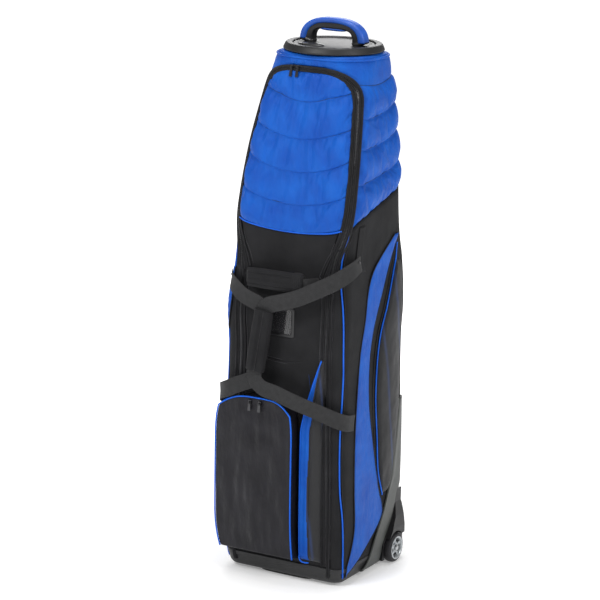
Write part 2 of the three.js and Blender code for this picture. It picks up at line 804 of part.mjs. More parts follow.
// ---------- name window on the flap ----------
const WINDOW = { x: -8, z: 622, w: 74, h: 70, y: frontAt(622) - 1.2 };
const frameShape = new THREE.Shape()
  .moveTo(-WINDOW.w / 2, -WINDOW.h / 2)
  .lineTo(WINDOW.w / 2, -WINDOW.h / 2)
  .lineTo(WINDOW.w / 2, WINDOW.h / 2)
  .lineTo(-WINDOW.w / 2, WINDOW.h / 2)
  .closePath();
const FRAME = 7;
frameShape.holes.push(
  new THREE.Path()
    .moveTo(-WINDOW.w / 2 + FRAME, -WINDOW.h / 2 + FRAME)
    .lineTo(-WINDOW.w / 2 + FRAME, WINDOW.h / 2 - FRAME)
    .lineTo(WINDOW.w / 2 - FRAME, WINDOW.h / 2 - FRAME)
    .lineTo(WINDOW.w / 2 - FRAME, -WINDOW.h / 2 + FRAME)
    .closePath(),
);
const onFlap = (mesh, y) => mesh.position.set(WINDOW.x, y, WINDOW.z);
const frame = new THREE.ExtrudeGeometry(frameShape, { depth: 1.6, bevelEnabled: false });
onFlap(add("window_frame", frame.rotateX(Math.PI / 2), BLACK_PLASTIC, flap), WINDOW.y);
const pane = new THREE.BoxGeometry(WINDOW.w - 2 * FRAME - 1, 0.6, WINDOW.h - 2 * FRAME - 1);
onFlap(add("window_pane", pane, CLEAR_VINYL, flap), WINDOW.y - 1.2);
const card = new THREE.BoxGeometry(WINDOW.w - 2 * FRAME - 4, 0.5, WINDOW.h - 2 * FRAME - 4);
onFlap(add("name_card", card, PAPER, flap), WINDOW.y - 0.3);

// ---------- webbing ----------
// A strap along points [x, y, z], with its width along across and its thickness along facing.
function strap(points, width = WEBBING.width, thick = WEBBING.thick, count = 16) {
  const line = new THREE.CatmullRomCurve3(points.map((p) => new THREE.Vector3(p[0], p[1], p[2])));
  const twist = curve(points.map((p, i) => [i / (points.length - 1), p[3] ?? 0]));
  const grids = [[], []];
  for (const t of steps(0, 1, count)) {
    const at = line.getPoint(t);
    const along = line.getTangent(t);
    const a = twist(t);
    const facing = new THREE.Vector3(Math.sin(a), -Math.cos(a), 0);
    const across = new THREE.Vector3().crossVectors(along, facing).normalize();
    facing.crossVectors(across, along).normalize();
    const edge = (k, out) =>
      at.clone().addScaledVector(across, (k * width) / 2).addScaledVector(facing, out);
    grids[0].push([edge(-1, thick / 2), edge(1, thick / 2)]);
    grids[1].push([edge(-1, -thick / 2), edge(1, -thick / 2)]);
  }
  return sheet(...grids);
}
const QUARTER = Math.PI / 2;
// Right strap: from the patch on the right side to the wrap, down through it and back.
const rightStrap = strap(
  [
    [164.5, -112, 770, QUARTER],
    [163, -146, 759, 1.1],
    [142, -182, 738, 0.3],
    [98, -200, 713, 0],
    [56, -209, 692, 0],
    [14, -209, 677, 0],
    [-8, -207, 670, 0],
    [-24, -206, 662, 0],
    [-32, -206, 644, 0],
    [-42, -206, 580, 0],
    [-52.5, -206, 510, 0],
    [-52, -206.5, 492, 0],
    [-43, -208, 478, 0],
    [-24, -210, 468, 0],
    [8, -212, 463, 0],
    [54, -211, 450, 0],
    [104, -196, 432, 0],
    [150, -184, 416, 0.5],
    [166, -158, 404, 1.2],
    [166, -124, 398, QUARTER],
  ],
  WEBBING.width,
  WEBBING.thick,
  34,
);
add("carry_strap_right", rightStrap, BLACK_WEBBING);

// Left strap: the same loop on the other side, lying just under the right one in the wrap.
const leftStrap = strap(
  [
    [-155, -144, 706, -0.9],
    [-141, -167, 699, -0.5],
    [-116, -186, 688, 0],
    [-90, -197, 677, 0],
    [-64, -200.5, 669, 0],
    [-43, -202, 661, 0],
    [-33, -202, 644, 0],
    [-42, -202, 580, 0],
    [-52.5, -202, 510, 0],
    [-56, -202, 494, 0],
    [-68, -202.5, 480, 0],
    [-94, -206, 468, 0],
    [-126, -207, 452, -0.2],
    [-156, -184, 436, -1],
    [-167, -146, 418, -QUARTER],
    [-167, -124, 410, -QUARTER],
  ],
  WEBBING.width,
  WEBBING.thick,
  30,
);
add("carry_strap_left", leftStrap, BLACK_WEBBING);

// An oval sleeve along a straight line, hollow for the webbing that runs through it.
function sleeve(from, to, width, thick, hole) {
  const [a, b] = [from, to].map((p) => new THREE.Vector3(...p));
  const along = b.clone().sub(a).normalize();
  const across = new THREE.Vector3().crossVectors(along, new THREE.Vector3(0, -1, 0)).normalize();
  const facing = new THREE.Vector3().crossVectors(across, along);
  const oval = (at, w, t, power) =>
    steps(0, 1, 20)
      .slice(0, 20)
      .map((k) => {
        const [c, d] = [Math.cos(k * 2 * Math.PI), Math.sin(k * 2 * Math.PI)];
        return at
          .clone()
          .addScaledVector(across, Math.sign(c) * Math.abs(c) ** power * w)
          .addScaledVector(facing, Math.sign(d) * Math.abs(d) ** power * t);
      });
  const on = (k, w, t, power) => oval(a.clone().lerp(b, k), w, t, power);
  const body = [
    [0, 0.9],
    [0.05, 1],
    [0.95, 1],
    [1, 0.9],
  ].map(([k, size]) => on(k, (width / 2) * size, (thick / 2) * size, 0.8));
  const inside = [-0.05, 1.05].map((k) => on(k, hole[0] / 2, hole[1] / 2, 0.35));
  return cut(loft(body), loft(inside));
}
const WRAP = { width: 50, thick: 24, hole: [43, 13] };
const wrap = sleeve([-33.2, -204, 638], [-53, -204, 508], WRAP.width, WRAP.thick, WRAP.hole);
add("handle_wrap", wrap, BLACK_WEBBING);

// Grab handle across the flap: a padded sleeve on a webbing strap.
const GRAB = { z: 722, y: -193, left: -80, right: 62, hole: [30, 6] };
const grab = sleeve([GRAB.left, GRAB.y, GRAB.z], [GRAB.right, GRAB.y, GRAB.z], 46, 20, GRAB.hole);
add("grab_handle", grab, BLACK_WEBBING, flap);
const grabStrap = strap(
  [
    [-100, frontAt(722) - 3, GRAB.z],
    [-98, frontAt(722) - 8, GRAB.z],
    [-84, GRAB.y, GRAB.z],
    [-60, GRAB.y, GRAB.z],
    [46, GRAB.y, GRAB.z],
    [66, GRAB.y, GRAB.z],
    [80, frontAt(722) - 8, GRAB.z],
    [87, frontAt(722) - 3, GRAB.z],
  ],
  26,
  2,
  16,
);
add("grab_webbing", grabStrap, BLACK_WEBBING, flap);

// Reinforcement patches sewn on the sides, above the upper ends of the carry straps.
for (const [side, sign] of SIDES) {
  const patch = wall([798, 812, 828], () => 1.98, () => 2.12, 2, 3.4, 1.4);
  add("strap_patch_" + side, sign > 0 ? patch : mirrored(patch), BLACK_WEBBING);
}

// ---------- zip sliders and their pulls ----------
// The slider rides on the teeth; its pull hangs from a bail and swings out about an X axis.
const SLIDER = 6;
// The bridge that the pull's top bar turns under: how far its axis stands off the tape, its
// inner and outer radius, and half its width.
const BRIDGE = { off: 4.6, inner: 1.3, outer: 2.5, half: 1.2 };
const PULL = { thick: 1.4, bar: 0.7, eye: 1.9, eyeEnd: -3.2 };
function slider(size) {
  const { off, inner, outer, half } = BRIDGE;
  const root = -size * 0.4;
  const bend = (r, sign) =>
    steps(-QUARTER, QUARTER, 6).map((a) => [-off - r * Math.cos(a), sign * r * Math.sin(a)]);
  const outline = [
    [root, -outer],
    ...bend(outer, 1),
    [root, outer],
    [root, inner],
    ...bend(inner, -1),
    [root, -inner],
  ];
  const body = block(-size * 0.6, size * 0.6, -size * 0.5, 0, -size * 0.8, size * 0.8);
  return join(body, plate(outline, -half, half));
}
function pull(size, length) {
  const { thick, bar, eye, eyeEnd } = PULL;
  const outline = new THREE.Shape()
    .moveTo(-size * 0.5, bar)
    .lineTo(size * 0.5, bar)
    .lineTo(size * 0.6, -length)
    .lineTo(-size * 0.6, -length)
    .closePath();
  const hole = new THREE.Path()
    .moveTo(-eye, -bar)
    .lineTo(-eye, eyeEnd)
    .lineTo(eye, eyeEnd)
    .lineTo(eye, -bar)
    .closePath();
  outline.holes.push(hole);
  return new THREE.ExtrudeGeometry(outline, { depth: thick, bevelEnabled: false })
    .translate(0, 0, -thick / 2)
    .rotateX(QUARTER);
}
function zipper(name, at, { length, hang }) {
  const carriage = new THREE.Group();
  carriage.position.set(...at);
  flap.add(carriage);
  add(name + "_slider", slider(SLIDER), BLACK_PLASTIC, carriage);
  const tab = add(name + "_pull", pull(SLIDER, length), BLACK_PLASTIC, carriage);
  tab.position.set(0, -BRIDGE.off, 0);
  tab.rotation.x = -hang;
}
// Each pull's length, and how far it hangs forward from straight down, in radians.
const MAIN_PULL = { length: 22, hang: 0.24 };
const POCKET_PULL = { length: 20, hang: 0.04 };
const topAt = [frontAt(ARCH.top - 5) - 1 - GAP, ARCH.top];
zipper("main_left", [-40, ...topAt], MAIN_PULL);
zipper("main_right", [-24, ...topAt], MAIN_PULL);
const pocketZip = FRONT_POCKET.top - 16;
const pocketAt = [pocketSeam(pocketZip) - FRONT_POCKET.depth, pocketZip];
zipper("pocket_left", [-62, ...pocketAt], POCKET_PULL);
zipper("pocket_right", [-36, ...pocketAt], POCKET_PULL);

// ---------- inside ----------
// Two straps across the board hold the golf bag down.
for (const [name, z] of [
  ["lower", 300],
  ["upper", 640],
]) {
  add("tie_strap_" + name, block(-120, 120, 130.5, 133.5, z - 19, z + 19), BLACK_WEBBING);
}

// The frame's origin is on the floor, under the middle of the case's bounding box.
const bounds = new THREE.Box3().setFromObject(bag, true);
const middle = bounds.getCenter(new THREE.Vector3());
bag.position.set(-middle.x, -middle.y, -bounds.min.z);

export default bag;
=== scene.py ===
# %% [markdown]
# # A golf travel case
# The case is a tall soft bag on two wheels: a quilted hood over the club heads, a black pack-cloth
# body, a front flap on a long zip, pockets, carry straps, and a moulded crown whose handle turns.
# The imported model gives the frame: every piece below is built in its coordinates, in metres, with
# +Z up and the front facing -Y. Sewn parts are rebuilt as cloth, moulded parts as smooth solids.

# %% Load the frame
import math

import bmesh
import bpy
import numpy as np
from mathutils import Matrix, Vector, noise


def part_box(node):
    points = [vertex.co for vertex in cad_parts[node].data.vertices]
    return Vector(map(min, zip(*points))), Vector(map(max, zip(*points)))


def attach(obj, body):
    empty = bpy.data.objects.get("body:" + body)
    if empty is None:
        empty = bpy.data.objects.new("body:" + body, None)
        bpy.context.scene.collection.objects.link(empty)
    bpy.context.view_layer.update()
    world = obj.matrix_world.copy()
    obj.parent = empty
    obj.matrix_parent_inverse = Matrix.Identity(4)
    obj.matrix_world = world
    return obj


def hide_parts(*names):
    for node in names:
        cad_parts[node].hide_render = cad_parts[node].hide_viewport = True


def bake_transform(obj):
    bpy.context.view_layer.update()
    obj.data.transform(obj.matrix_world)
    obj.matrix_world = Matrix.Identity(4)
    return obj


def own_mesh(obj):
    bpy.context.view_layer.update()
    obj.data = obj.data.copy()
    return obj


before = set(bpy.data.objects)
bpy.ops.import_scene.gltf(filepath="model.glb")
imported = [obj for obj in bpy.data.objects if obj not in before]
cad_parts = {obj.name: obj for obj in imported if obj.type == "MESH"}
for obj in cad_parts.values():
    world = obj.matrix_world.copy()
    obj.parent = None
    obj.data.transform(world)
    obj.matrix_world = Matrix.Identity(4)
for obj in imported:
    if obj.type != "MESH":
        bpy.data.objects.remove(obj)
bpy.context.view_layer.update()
MM = 0.001
crown_low, crown_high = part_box("crown_ring")
CROWN_Y = 34.0  # the crown's centre, as the section table below counts y
SHIFT = (crown_low.y + crown_high.y) / 2 - CROWN_Y * MM

# %% [markdown]
# The camera stands to the right of the front and a little above the case, far away behind a long
# lens, so that the sides stay nearly parallel. It rolls by a degree and a half.

# %% Camera
CAMERA = {
    "turn": 28.73, "away": 5.877, "height": 2.062, "aim": 29.182, "down": 13.62, "roll": 1.516,
    "lens": 155.0
}
turn = math.radians(CAMERA["turn"])
camera = bpy.data.objects.new("camera", bpy.data.cameras.new("camera"))
camera.data.lens = CAMERA["lens"]
camera.data.sensor_width = 36
place = Vector((math.sin(turn), -math.cos(turn), 0)) * CAMERA["away"] + Vector((0, SHIFT, CAMERA["height"]))
camera.matrix_world = (
    Matrix.Translation(place)
    @ Matrix.Rotation(math.radians(CAMERA["aim"]), 4, "Z")
    @ Matrix.Rotation(math.radians(90 - CAMERA["down"]), 4, "X")
    @ Matrix.Rotation(math.radians(CAMERA["roll"]), 4, "Z")
)
bpy.context.scene.collection.objects.link(camera)
bpy.context.scene.camera = camera
print("camera at", [round(c, 3) for c in place])

# %% [markdown]
# The studio is a white floor under an even sky, with a softbox in front on the left and high up,
# which draws the quilting, a weaker one on the right, one above and one behind. The sky is seen
# white but lights the case less, so that folds keep their shade.

# %% Studio
scene = bpy.context.scene
scene.view_settings.view_transform = "Standard"
world = bpy.data.worlds.new("studio")
scene.world = world
world.use_nodes = True
sky = world.node_tree
seen = sky.nodes.new("ShaderNodeLightPath").outputs["Is Camera Ray"]
level = sky.nodes.new("ShaderNodeMapRange")
level.inputs["To Min"].default_value = 0.3  # what lights the case
level.inputs["To Max"].default_value = 1.0  # what is seen behind it
sky.links.new(seen, level.inputs["Value"])
sky.nodes["Background"].inputs["Color"].default_value = (1, 1, 1, 1)
sky.links.new(level.outputs["Result"], sky.nodes["Background"].inputs["Strength"])


def softbox(name, at, size, power):
    lamp = bpy.data.lights.new(name, "AREA")
    lamp.shape = "SQUARE"
    lamp.size = size
    lamp.energy = power
    obj = bpy.data.objects.new(name, lamp)
    obj.location = at
    obj.rotation_euler = (Vector((0, 0, 0.7)) - Vector(at)).to_track_quat("-Z", "Y").to_euler()
    scene.collection.objects.link(obj)


softbox("key", (-0.9, -3.2, 3.6), 1.4, 95)
softbox("fill", (3.6, -1.0, 2.8), 1.4, 62)
softbox("top", (0.0, 0.2, 4.4), 1.2, 60)
softbox("rear", (-1.6, 3.4, 2.4), 2.0, 50)


# %% [markdown]
# Materials start from sRGB hex colours, which one function turns into linear values, and one small
# function adds a node with its settings and links. Patterns are drawn in object space, so they
# don't need a UV map: u runs round the case as x + y, and v runs up it as z.

# %% Material helpers
def linear(hex_colour):
    parts = [int(hex_colour[i : i + 2], 16) / 255 for i in (1, 3, 5)]
    return tuple(c / 12.92 if c <= 0.04045 else ((c + 0.055) / 1.055) ** 2.4 for c in parts) + (1.0,)


def add_node(tree, kind, inputs=None, **settings):
    made = tree.nodes.new(kind)
    for name, value in settings.items():
        setattr(made, name, value)
    for name, value in (inputs or {}).items():
        if isinstance(value, bpy.types.NodeSocket):
            tree.links.new(value, made.inputs[name])
        else:
            made.inputs[name].default_value = value
    return made


def new_material(name, **values):
    made = bpy.data.materials.new(name)
    made.use_nodes = True
    shader = made.node_tree.nodes["Principled BSDF"]
    for key, value in values.items():
        shader.inputs[key.replace("_", " ").title().replace("Ior", "IOR")].default_value = value
    return made, made.node_tree, shader


def unwrapped(tree):
    """Object space laid flat: x + y round the case, z up it."""
    place = add_node(tree, "ShaderNodeTexCoord")
    parts = add_node(tree, "ShaderNodeSeparateXYZ", {0: place.outputs["Object"]})
    across = add_node(
        tree, "ShaderNodeMath", {0: parts.outputs["X"], 1: parts.outputs["Y"]}, operation="ADD"
    )
    return add_node(
        tree, "ShaderNodeCombineXYZ", {"X": across.outputs[0], "Y": parts.outputs["Z"]}
    ).outputs[0]


BAND_PERIOD = 2 * math.pi / 20  # a wave texture's band, at scale 1


def bands(tree, vector, pitch_mm, direction, warp=0.0):
    """Threads side by side, one every pitch_mm."""
    inputs = {"Vector": vector, "Scale": BAND_PERIOD / (pitch_mm * MM), "Distortion": warp}
    return add_node(tree, "ShaderNodeTexWave", inputs, bands_direction=direction).outputs["Fac"]


def speckle(tree, vector, size_mm, detail=3.0):
    inputs = {"Vector": vector, "Scale": 1 / (size_mm * MM), "Detail": detail}
    return add_node(tree, "ShaderNodeTexNoise", inputs).outputs["Fac"]


def blend_colours(tree, factor, low, high):
    ramp = add_node(tree, "ShaderNodeValToRGB", {"Fac": factor})
    ramp.color_ramp.elements[0].position = 0.3
    ramp.color_ramp.elements[1].position = 0.7
    ramp.color_ramp.elements[0].color = linear(low)
    ramp.color_ramp.elements[1].color = linear(high)
    return ramp.outputs["Color"]


def bumped(tree, shader, heights):
    """Chains (height socket, depth in mm) into the shader's normal."""
    normal = None
    for height, depth_mm in heights:
        inputs = {"Height": height, "Distance": depth_mm * MM, "Strength": 1.0}
        if normal:
            inputs["Normal"] = normal
        normal = add_node(tree, "ShaderNodeBump", inputs).outputs["Normal"]
    tree.links.new(normal, shader.inputs["Normal"])


# %% [markdown]
# Sewn cloth comes in four kinds: royal blue polyester twill on the quilting, matt black pack cloth
# on the body, a shiny coated nylon on the front pocket, and a grey lining. All are woven, so each
# has two sets of threads. Real threads are 0.5 to 0.8 mm apart, too fine for the frame, so they are
# drawn about twice as coarse. Slow noise varies the colour, as dye and wear do.

# %% Cloth
def woven(
    name, low, high, roughness, pitch_mm, depth_mm, twill=False, sheen=0.2, crease_mm=0.0,
    crease_size=26
):
    material, tree, shader = new_material(
        name, roughness=roughness, sheen_weight=sheen, sheen_roughness=0.4
    )
    flat = unwrapped(tree)
    cloudy = speckle(tree, flat, 60)
    shader.inputs["Specular IOR Level"].default_value = 0.22
    tree.links.new(blend_colours(tree, cloudy, low, high), shader.inputs["Base Color"])
    warp = bands(tree, flat, pitch_mm, "DIAGONAL" if twill else "X")
    weft = bands(tree, flat, pitch_mm, "Y")
    weave = add_node(tree, "ShaderNodeMath", {0: warp, 1: weft}, operation="ADD").outputs[0]
    heights = [(weave, depth_mm)]
    if crease_mm:
        hanging = add_node(tree, "ShaderNodeMapping", {"Vector": flat, "Scale": (1.3, 0.55, 1)})
        heights.append((speckle(tree, hanging.outputs[0], crease_size, 3.0), crease_mm))
    bumped(tree, shader, heights)
    return material


blue_twill = woven(
    "royal_blue_polyester_twill", "#0046a4", "#0658b8", 0.55, 1.1, 0.1, twill=True, sheen=0.03,
    crease_mm=3.4, crease_size=34
)
black_cloth = woven(
    "black_pack_cloth", "#18181a", "#212123", 0.85, 1.5, 0.16, sheen=0.03, crease_mm=1.6,
    crease_size=60
)
coated_nylon = woven(
    "black_coated_nylon", "#121116", "#1b1a20", 0.34, 1.0, 0.05, sheen=0.0, crease_mm=5.0,
    crease_size=42
)
lining = woven("grey_taffeta_lining", "#3a3b3f", "#44454a", 0.6, 1.2, 0.05, sheen=0.0, crease_mm=1.0)
zip_cloth = woven("black_zip_tape", "#121214", "#1c1c1f", 0.65, 1.2, 0.16, sheen=0.0)
welt_cloth = woven("black_satin_binding", "#151517", "#222225", 0.55, 0.9, 0.1, sheen=0.0)
piping_cloth = woven("royal_blue_satin_piping", "#0555c8", "#1264dc", 0.42, 0.9, 0.08, sheen=0.0)
# Navy cloth: the fine piping on the flap, and the dark lines along the quilting seams, whose colour is
# painted shade in the seam creases.
navy_cloth_and_seam_shade = woven("navy_piping_and_seam_shade", "#16305e", "#1c3a70", 0.5, 0.9, 0.05, sheen=0.0)
print("cloth materials", len(bpy.data.materials))

# %% [markdown]
# The side pockets and the strip beside the zip are the same pack cloth with a faint printed
# pattern: thin, dark blue strokes on one slant that fade in and out.

# %% Printed cloth
def printed_cloth():
    material, tree, shader = new_material("printed_black_pack_cloth", roughness=0.7, sheen_weight=0.1)
    flat = unwrapped(tree)
    slanted = add_node(
        tree, "ShaderNodeMapping", {"Vector": flat, "Rotation": (0, 0, 0.5), "Scale": (1, 0.55, 1)}
    )
    strokes = bands(tree, slanted.outputs[0], 46, "DIAGONAL", warp=1.5)
    thin = add_node(tree, "ShaderNodeMath", {0: strokes, 1: 26.0}, operation="POWER").outputs[0]
    fade = speckle(tree, flat, 45)
    faint = add_node(tree, "ShaderNodeMath", {0: thin, 1: fade}, operation="MULTIPLY").outputs[0]
    ink = add_node(tree, "ShaderNodeValToRGB", {"Fac": faint})
    ink.color_ramp.elements[0].color = linear("#161619")
    ink.color_ramp.elements[1].color = linear("#1f3768")
    tree.links.new(ink.outputs["Color"], shader.inputs["Base Color"])
    warp = bands(tree, flat, 1.5, "X")
    weft = bands(tree, flat, 1.5, "Y")
    weave = add_node(tree, "ShaderNodeMath", {0: warp, 1: weft}, operation="ADD").outputs[0]
    bumped(tree, shader, [(weave, 0.15), (speckle(tree, flat, 35), 1.2)])
    return material


printed = printed_cloth()

# %% [markdown]
# Webbing is a thick ribbon of ribbed nylon. Its ribs run across the strap whichever way it turns,
# so this one material reads the mesh's own map: u across and v along the strap, in metres.

# %% Webbing
def webbing():
    material, tree, shader = new_material("black_nylon_webbing", roughness=0.75, sheen_weight=0.03)
    place = add_node(tree, "ShaderNodeTexCoord").outputs["UV"]
    ribs = bands(tree, place, 2.6, "Y")
    rows = bands(tree, place, 3.2, "X")
    weave = add_node(tree, "ShaderNodeMath", {0: ribs, 1: rows}, operation="ADD").outputs[0]
    colour = blend_colours(tree, speckle(tree, place, 12), "#131315", "#1e1e20")
    tree.links.new(colour, shader.inputs["Base Color"])
    bumped(tree, shader, [(weave, 0.22)])
    return material


strap_webbing = webbing()

# %% [markdown]
# Moulded parts: black ABS with a spark-eroded grain on the base and crown, smoother polypropylene
# on the grey rails, a soft thermoplastic rubber on the grip, polyurethane tyres, silver-painted
# hubs, and turned steel for the axles. Grain is 0.8 mm noise, drawn a little coarse.

# %% Moulded and metal finishes
def moulded(name, low, high, roughness, grain_mm=1.0, depth_mm=0.06, **more):
    material, tree, shader = new_material(name, roughness=roughness, **more)
    place = add_node(tree, "ShaderNodeTexCoord").outputs["Object"]
    tree.links.new(blend_colours(tree, speckle(tree, place, 30), low, high), shader.inputs["Base Color"])
    rub = add_node(
        tree,
        "ShaderNodeMapRange",
        {"Value": speckle(tree, place, 18, 5.0), "To Min": roughness - 0.07, "To Max": roughness + 0.07},
    )
    tree.links.new(rub.outputs["Result"], shader.inputs["Roughness"])
    bumped(tree, shader, [(speckle(tree, place, grain_mm, 2.0), depth_mm)])
    return material


black_abs = moulded("black_textured_abs", "#101012", "#19191b", 0.5, 1.0, 0.1)
gloss_abs = moulded("black_smooth_abs", "#121214", "#1a1a1c", 0.36, 2.5, 0.03)
grey_rail = moulded("grey_gloss_polypropylene", "#303331", "#3c3f3c", 0.42, 3.0, 0.03)
blue_grip = moulded("royal_blue_soft_rubber", "#0e47a6", "#1656b8", 0.5, 1.2, 0.08, coat_weight=0.1)
tyre_rubber = moulded("black_polyurethane_tyre", "#141317", "#1d1c20", 0.6, 1.4, 0.08)
silver_hub = moulded("silver_painted_nylon_hub", "#a2a6a9", "#b4b8ba", 0.32, 1.0, 0.03, metallic=0.55)
turned_steel = moulded("turned_steel", "#a4a6a8", "#b6b8ba", 0.28, 1.5, 0.02, metallic=1.0)
card_stock = moulded("dark_grey_card", "#1c1c1e", "#242427", 0.7, 1.5, 0.04)
pull_metal = moulded("black_nickel_zip_metal", "#3a3a3c", "#4a4a4c", 0.3, 1.0, 0.02, metallic=0.9)


def clear_sheet():
    material, tree, shader = new_material("clear_vinyl", roughness=0.12, alpha=0.35, coat_weight=1.0)
    place = add_node(tree, "ShaderNodeTexCoord").outputs["Object"]
    colour = blend_colours(tree, speckle(tree, place, 14), "#2c2c2f", "#38383b")
    tree.links.new(colour, shader.inputs["Base Color"])
    bumped(tree, shader, [(speckle(tree, place, 40, 0.0), 1.0)])
    return material


vinyl = clear_sheet()
print("materials", len(bpy.data.materials))

# %% [markdown]
# Every sewn surface follows one skin: the case's cross-section at each height, a rectangle with
# round corners. A station s runs round it, seen from above: 0 is the middle of the front, 1 to 2
# the front right corner, 2 to 3 the side, 3 to 4 the back corner and 5 the middle of the back.
# Lengths in these tables are millimetres, and the points that come out are metres.

# %% The skin
def curve(stops):
    """A smooth curve through stops (t, value), flat beyond both ends."""
    t, v = (np.array(c, float) for c in zip(*stops))
    before, after = np.r_[0, : len(t) - 1], np.r_[1 : len(t), len(t) - 1]
    slope = (v[after] - v[before]) / (t[after] - t[before])

    def at(x):
        x = np.clip(np.asarray(x, float), t[0], t[-1])
        i = np.clip(np.searchsorted(t, x) - 1, 0, len(t) - 2)
        h = t[i + 1] - t[i]
        k = (x - t[i]) / h
        start = v[i] * (1 + 2 * k) * (1 - k) ** 2 + h * slope[i] * k * (1 - k) ** 2
        return start + v[i + 1] * k * k * (3 - 2 * k) + h * slope[i + 1] * k * k * (k - 1)

    return at


# Height, half width, front, back, corner radius
STATIONS = [
    (0, 150, -144, 140, 30),
    (40, 157, -154, 145, 30),
    (110, 160, -161, 145, 30),
    (300, 160, -166, 145, 30),
    (540, 155, -167, 145, 31),
    (640, 158, -169, 145, 32),
    (740, 153, -160, 142, 36),
    (800, 152, -156, 132, 42),
    (870, 154, -154, 126, 50),
    (1000, 148, -130, 126, 58),
    (1100, 139, -106, 132, 70),
    (1190, 128, -86, 143, 86),
    (1230, 123, -82, 146, 100),
]
half_at, front_at, back_at, round_at = (
    curve([(row[0], row[i]) for row in STATIONS]) for i in (1, 2, 3, 4)
)


def skin(s, z, out=0.0):
    s, z, out = np.broadcast_arrays(np.asarray(s, float), np.asarray(z, float), np.asarray(out, float))
    side = np.where(s < 0, -1.0, 1.0)
    t = np.abs(s)
    side = np.where(t > 5, -side, side)
    t = np.where(t > 5, 10 - t, t)
    w, f, b, r = half_at(z), front_at(z), back_at(z), round_at(z)
    reach = r + out
    front_turn = (t - 1) * math.pi / 2 - math.pi / 2
    back_turn = (t - 3) * math.pi / 2
    x = np.select(
        [t <= 1, t < 2, t <= 3, t < 4],
        [t * (w - r), w - r + reach * np.cos(front_turn), w + out, w - r + reach * np.cos(back_turn)],
        (5 - t) * (w - r),
    )
    y = np.select(
        [t <= 1, t < 2, t <= 3, t < 4],
        [
            f - out, f + r + reach * np.sin(front_turn), f + r + (t - 2) * (b - f - 2 * r),
            b - r + reach * np.sin(back_turn)
        ],
        b + out,
    )
    return np.stack([side * x * MM, y * MM + SHIFT, z * MM], -1)


def side_station(y, z):
    f, b, r = front_at(z), back_at(z), round_at(z)
    return 2 + (y - f - r) / (b - f - 2 * r)


ROUND = np.linspace(0, 5, 201)


def spread(start, end, z, share):
    """Stations from start to end at height z, spaced evenly along the skin by share 0 to 1."""
    points = skin(ROUND, z)
    length = np.concatenate([[0], np.cumsum(np.linalg.norm(np.diff(points, axis=0), axis=1))])
    a, b = (np.sign(s) * np.interp(abs(s), ROUND, length) for s in (start, end))
    d = a + (b - a) * np.asarray(share)
    return np.sign(d) * np.interp(np.abs(d), length, ROUND)


# The zip runs up both front corners and over the top in an arch.
ARCH = {"from": 1128, "top": 1196, "flat": 0.95}
zip_side = curve([(46, 0.95), (300, 0.93), (690, 0.92), (771, 1.13), (832, 1.45), (900, 1.58), (1128, 1.6)])


def unit(s, z):
    """Millimetres for one unit of station."""
    return np.where(s < 1, half_at(z) - round_at(z), round_at(z) * math.pi / 2)


def growing(side, top):
    """An inset that changes from the sides of the zip to the top of its arch."""
    return lambda up: side + (top - side) * up


def zip_line(inset, low=46.0, step=6.0):
    """The zip's line as stations and heights, moved towards the middle by inset mm."""
    inset = inset if callable(inset) else growing(inset, inset)
    z = np.arange(low, ARCH["from"], step)
    s = zip_side(z)
    turns = np.linspace(0, math.pi / 2, 26)
    shift = inset(np.sin(turns) ** 2)
    up = ARCH["from"] + (ARCH["top"] - shift - ARCH["from"]) * np.sin(turns)
    bend = ARCH["flat"] + (zip_side(up) - ARCH["flat"]) * np.cos(turns)
    s_all = np.concatenate([s - inset(0.0) / unit(s, z), bend - shift / unit(bend, up) * np.cos(turns)])
    return s_all, np.concatenate([z, up])


def opening(z, inset):
    line_s, line_z = zip_line(inset)
    return np.interp(z, line_z, line_s)


print("skin at the waist", skin(2.0, 740.0))

# %% [markdown]
# A sewn panel is a grid of points on the skin. One helper turns any grid into a mesh, checks that
# its faces look outwards, and gives it thickness. Wrinkles are small moves of the grid along the
# skin's outward direction, from smooth seeded noise, so that they show in the shape itself.

# %% Mesh helpers
def new_object(name, points, faces, material, smooth=True, uv=None):
    mesh = bpy.data.meshes.new(name)
    mesh.from_pydata([tuple(p) for p in points], [], faces)
    mesh.materials.append(material)
    if smooth:
        mesh.polygons.foreach_set("use_smooth", [True] * len(mesh.polygons))
    if uv is not None:
        layer = mesh.uv_layers.new(name="map")
        index = np.array([loop.vertex_index for loop in mesh.loops])
        layer.data.foreach_set("uv", np.asarray(uv, np.float32)[index].ravel())
    mesh.validate()
    mesh.update()
    obj = bpy.data.objects.new(name, mesh)
    scene.collection.objects.link(obj)
    return obj


def grid_faces(rows, cols, closed=False):
    wrap = cols if closed else cols - 1
    return [
        (i * cols + j, i * cols + (j + 1) % cols, (i + 1) * cols + (j + 1) % cols, (i + 1) * cols + j)
        for i in range(rows - 1)
        for j in range(wrap)
    ]


def thicken(obj, thick_mm, inside=None, offset=-1.0):
    if inside:
        obj.data.materials.append(inside)
    solid = obj.modifiers.new("thickness", "SOLIDIFY")
    solid.thickness = thick_mm * MM
    solid.offset = offset
    solid.material_offset = 1 if inside else 0
    solid.use_even_offset = False


def clean(obj, merge_mm=0.05):
    """Merges doubled points and turns the faces to look away from the case's middle line."""
    b = bmesh.new()
    b.from_mesh(obj.data)
    bmesh.ops.remove_doubles(b, verts=b.verts, dist=merge_mm * MM)
    bmesh.ops.dissolve_degenerate(b, dist=merge_mm * MM, edges=b.edges)
    bmesh.ops.recalc_face_normals(b, faces=b.faces)
    outward = sum(
        f.normal.dot(f.calc_center_median() - Vector((0, SHIFT, f.calc_center_median().z))) * f.calc_area()
        for f in b.faces
    )
    if outward < 0:
        bmesh.ops.reverse_faces(b, faces=b.faces)
    b.to_mesh(obj.data)
    b.free()


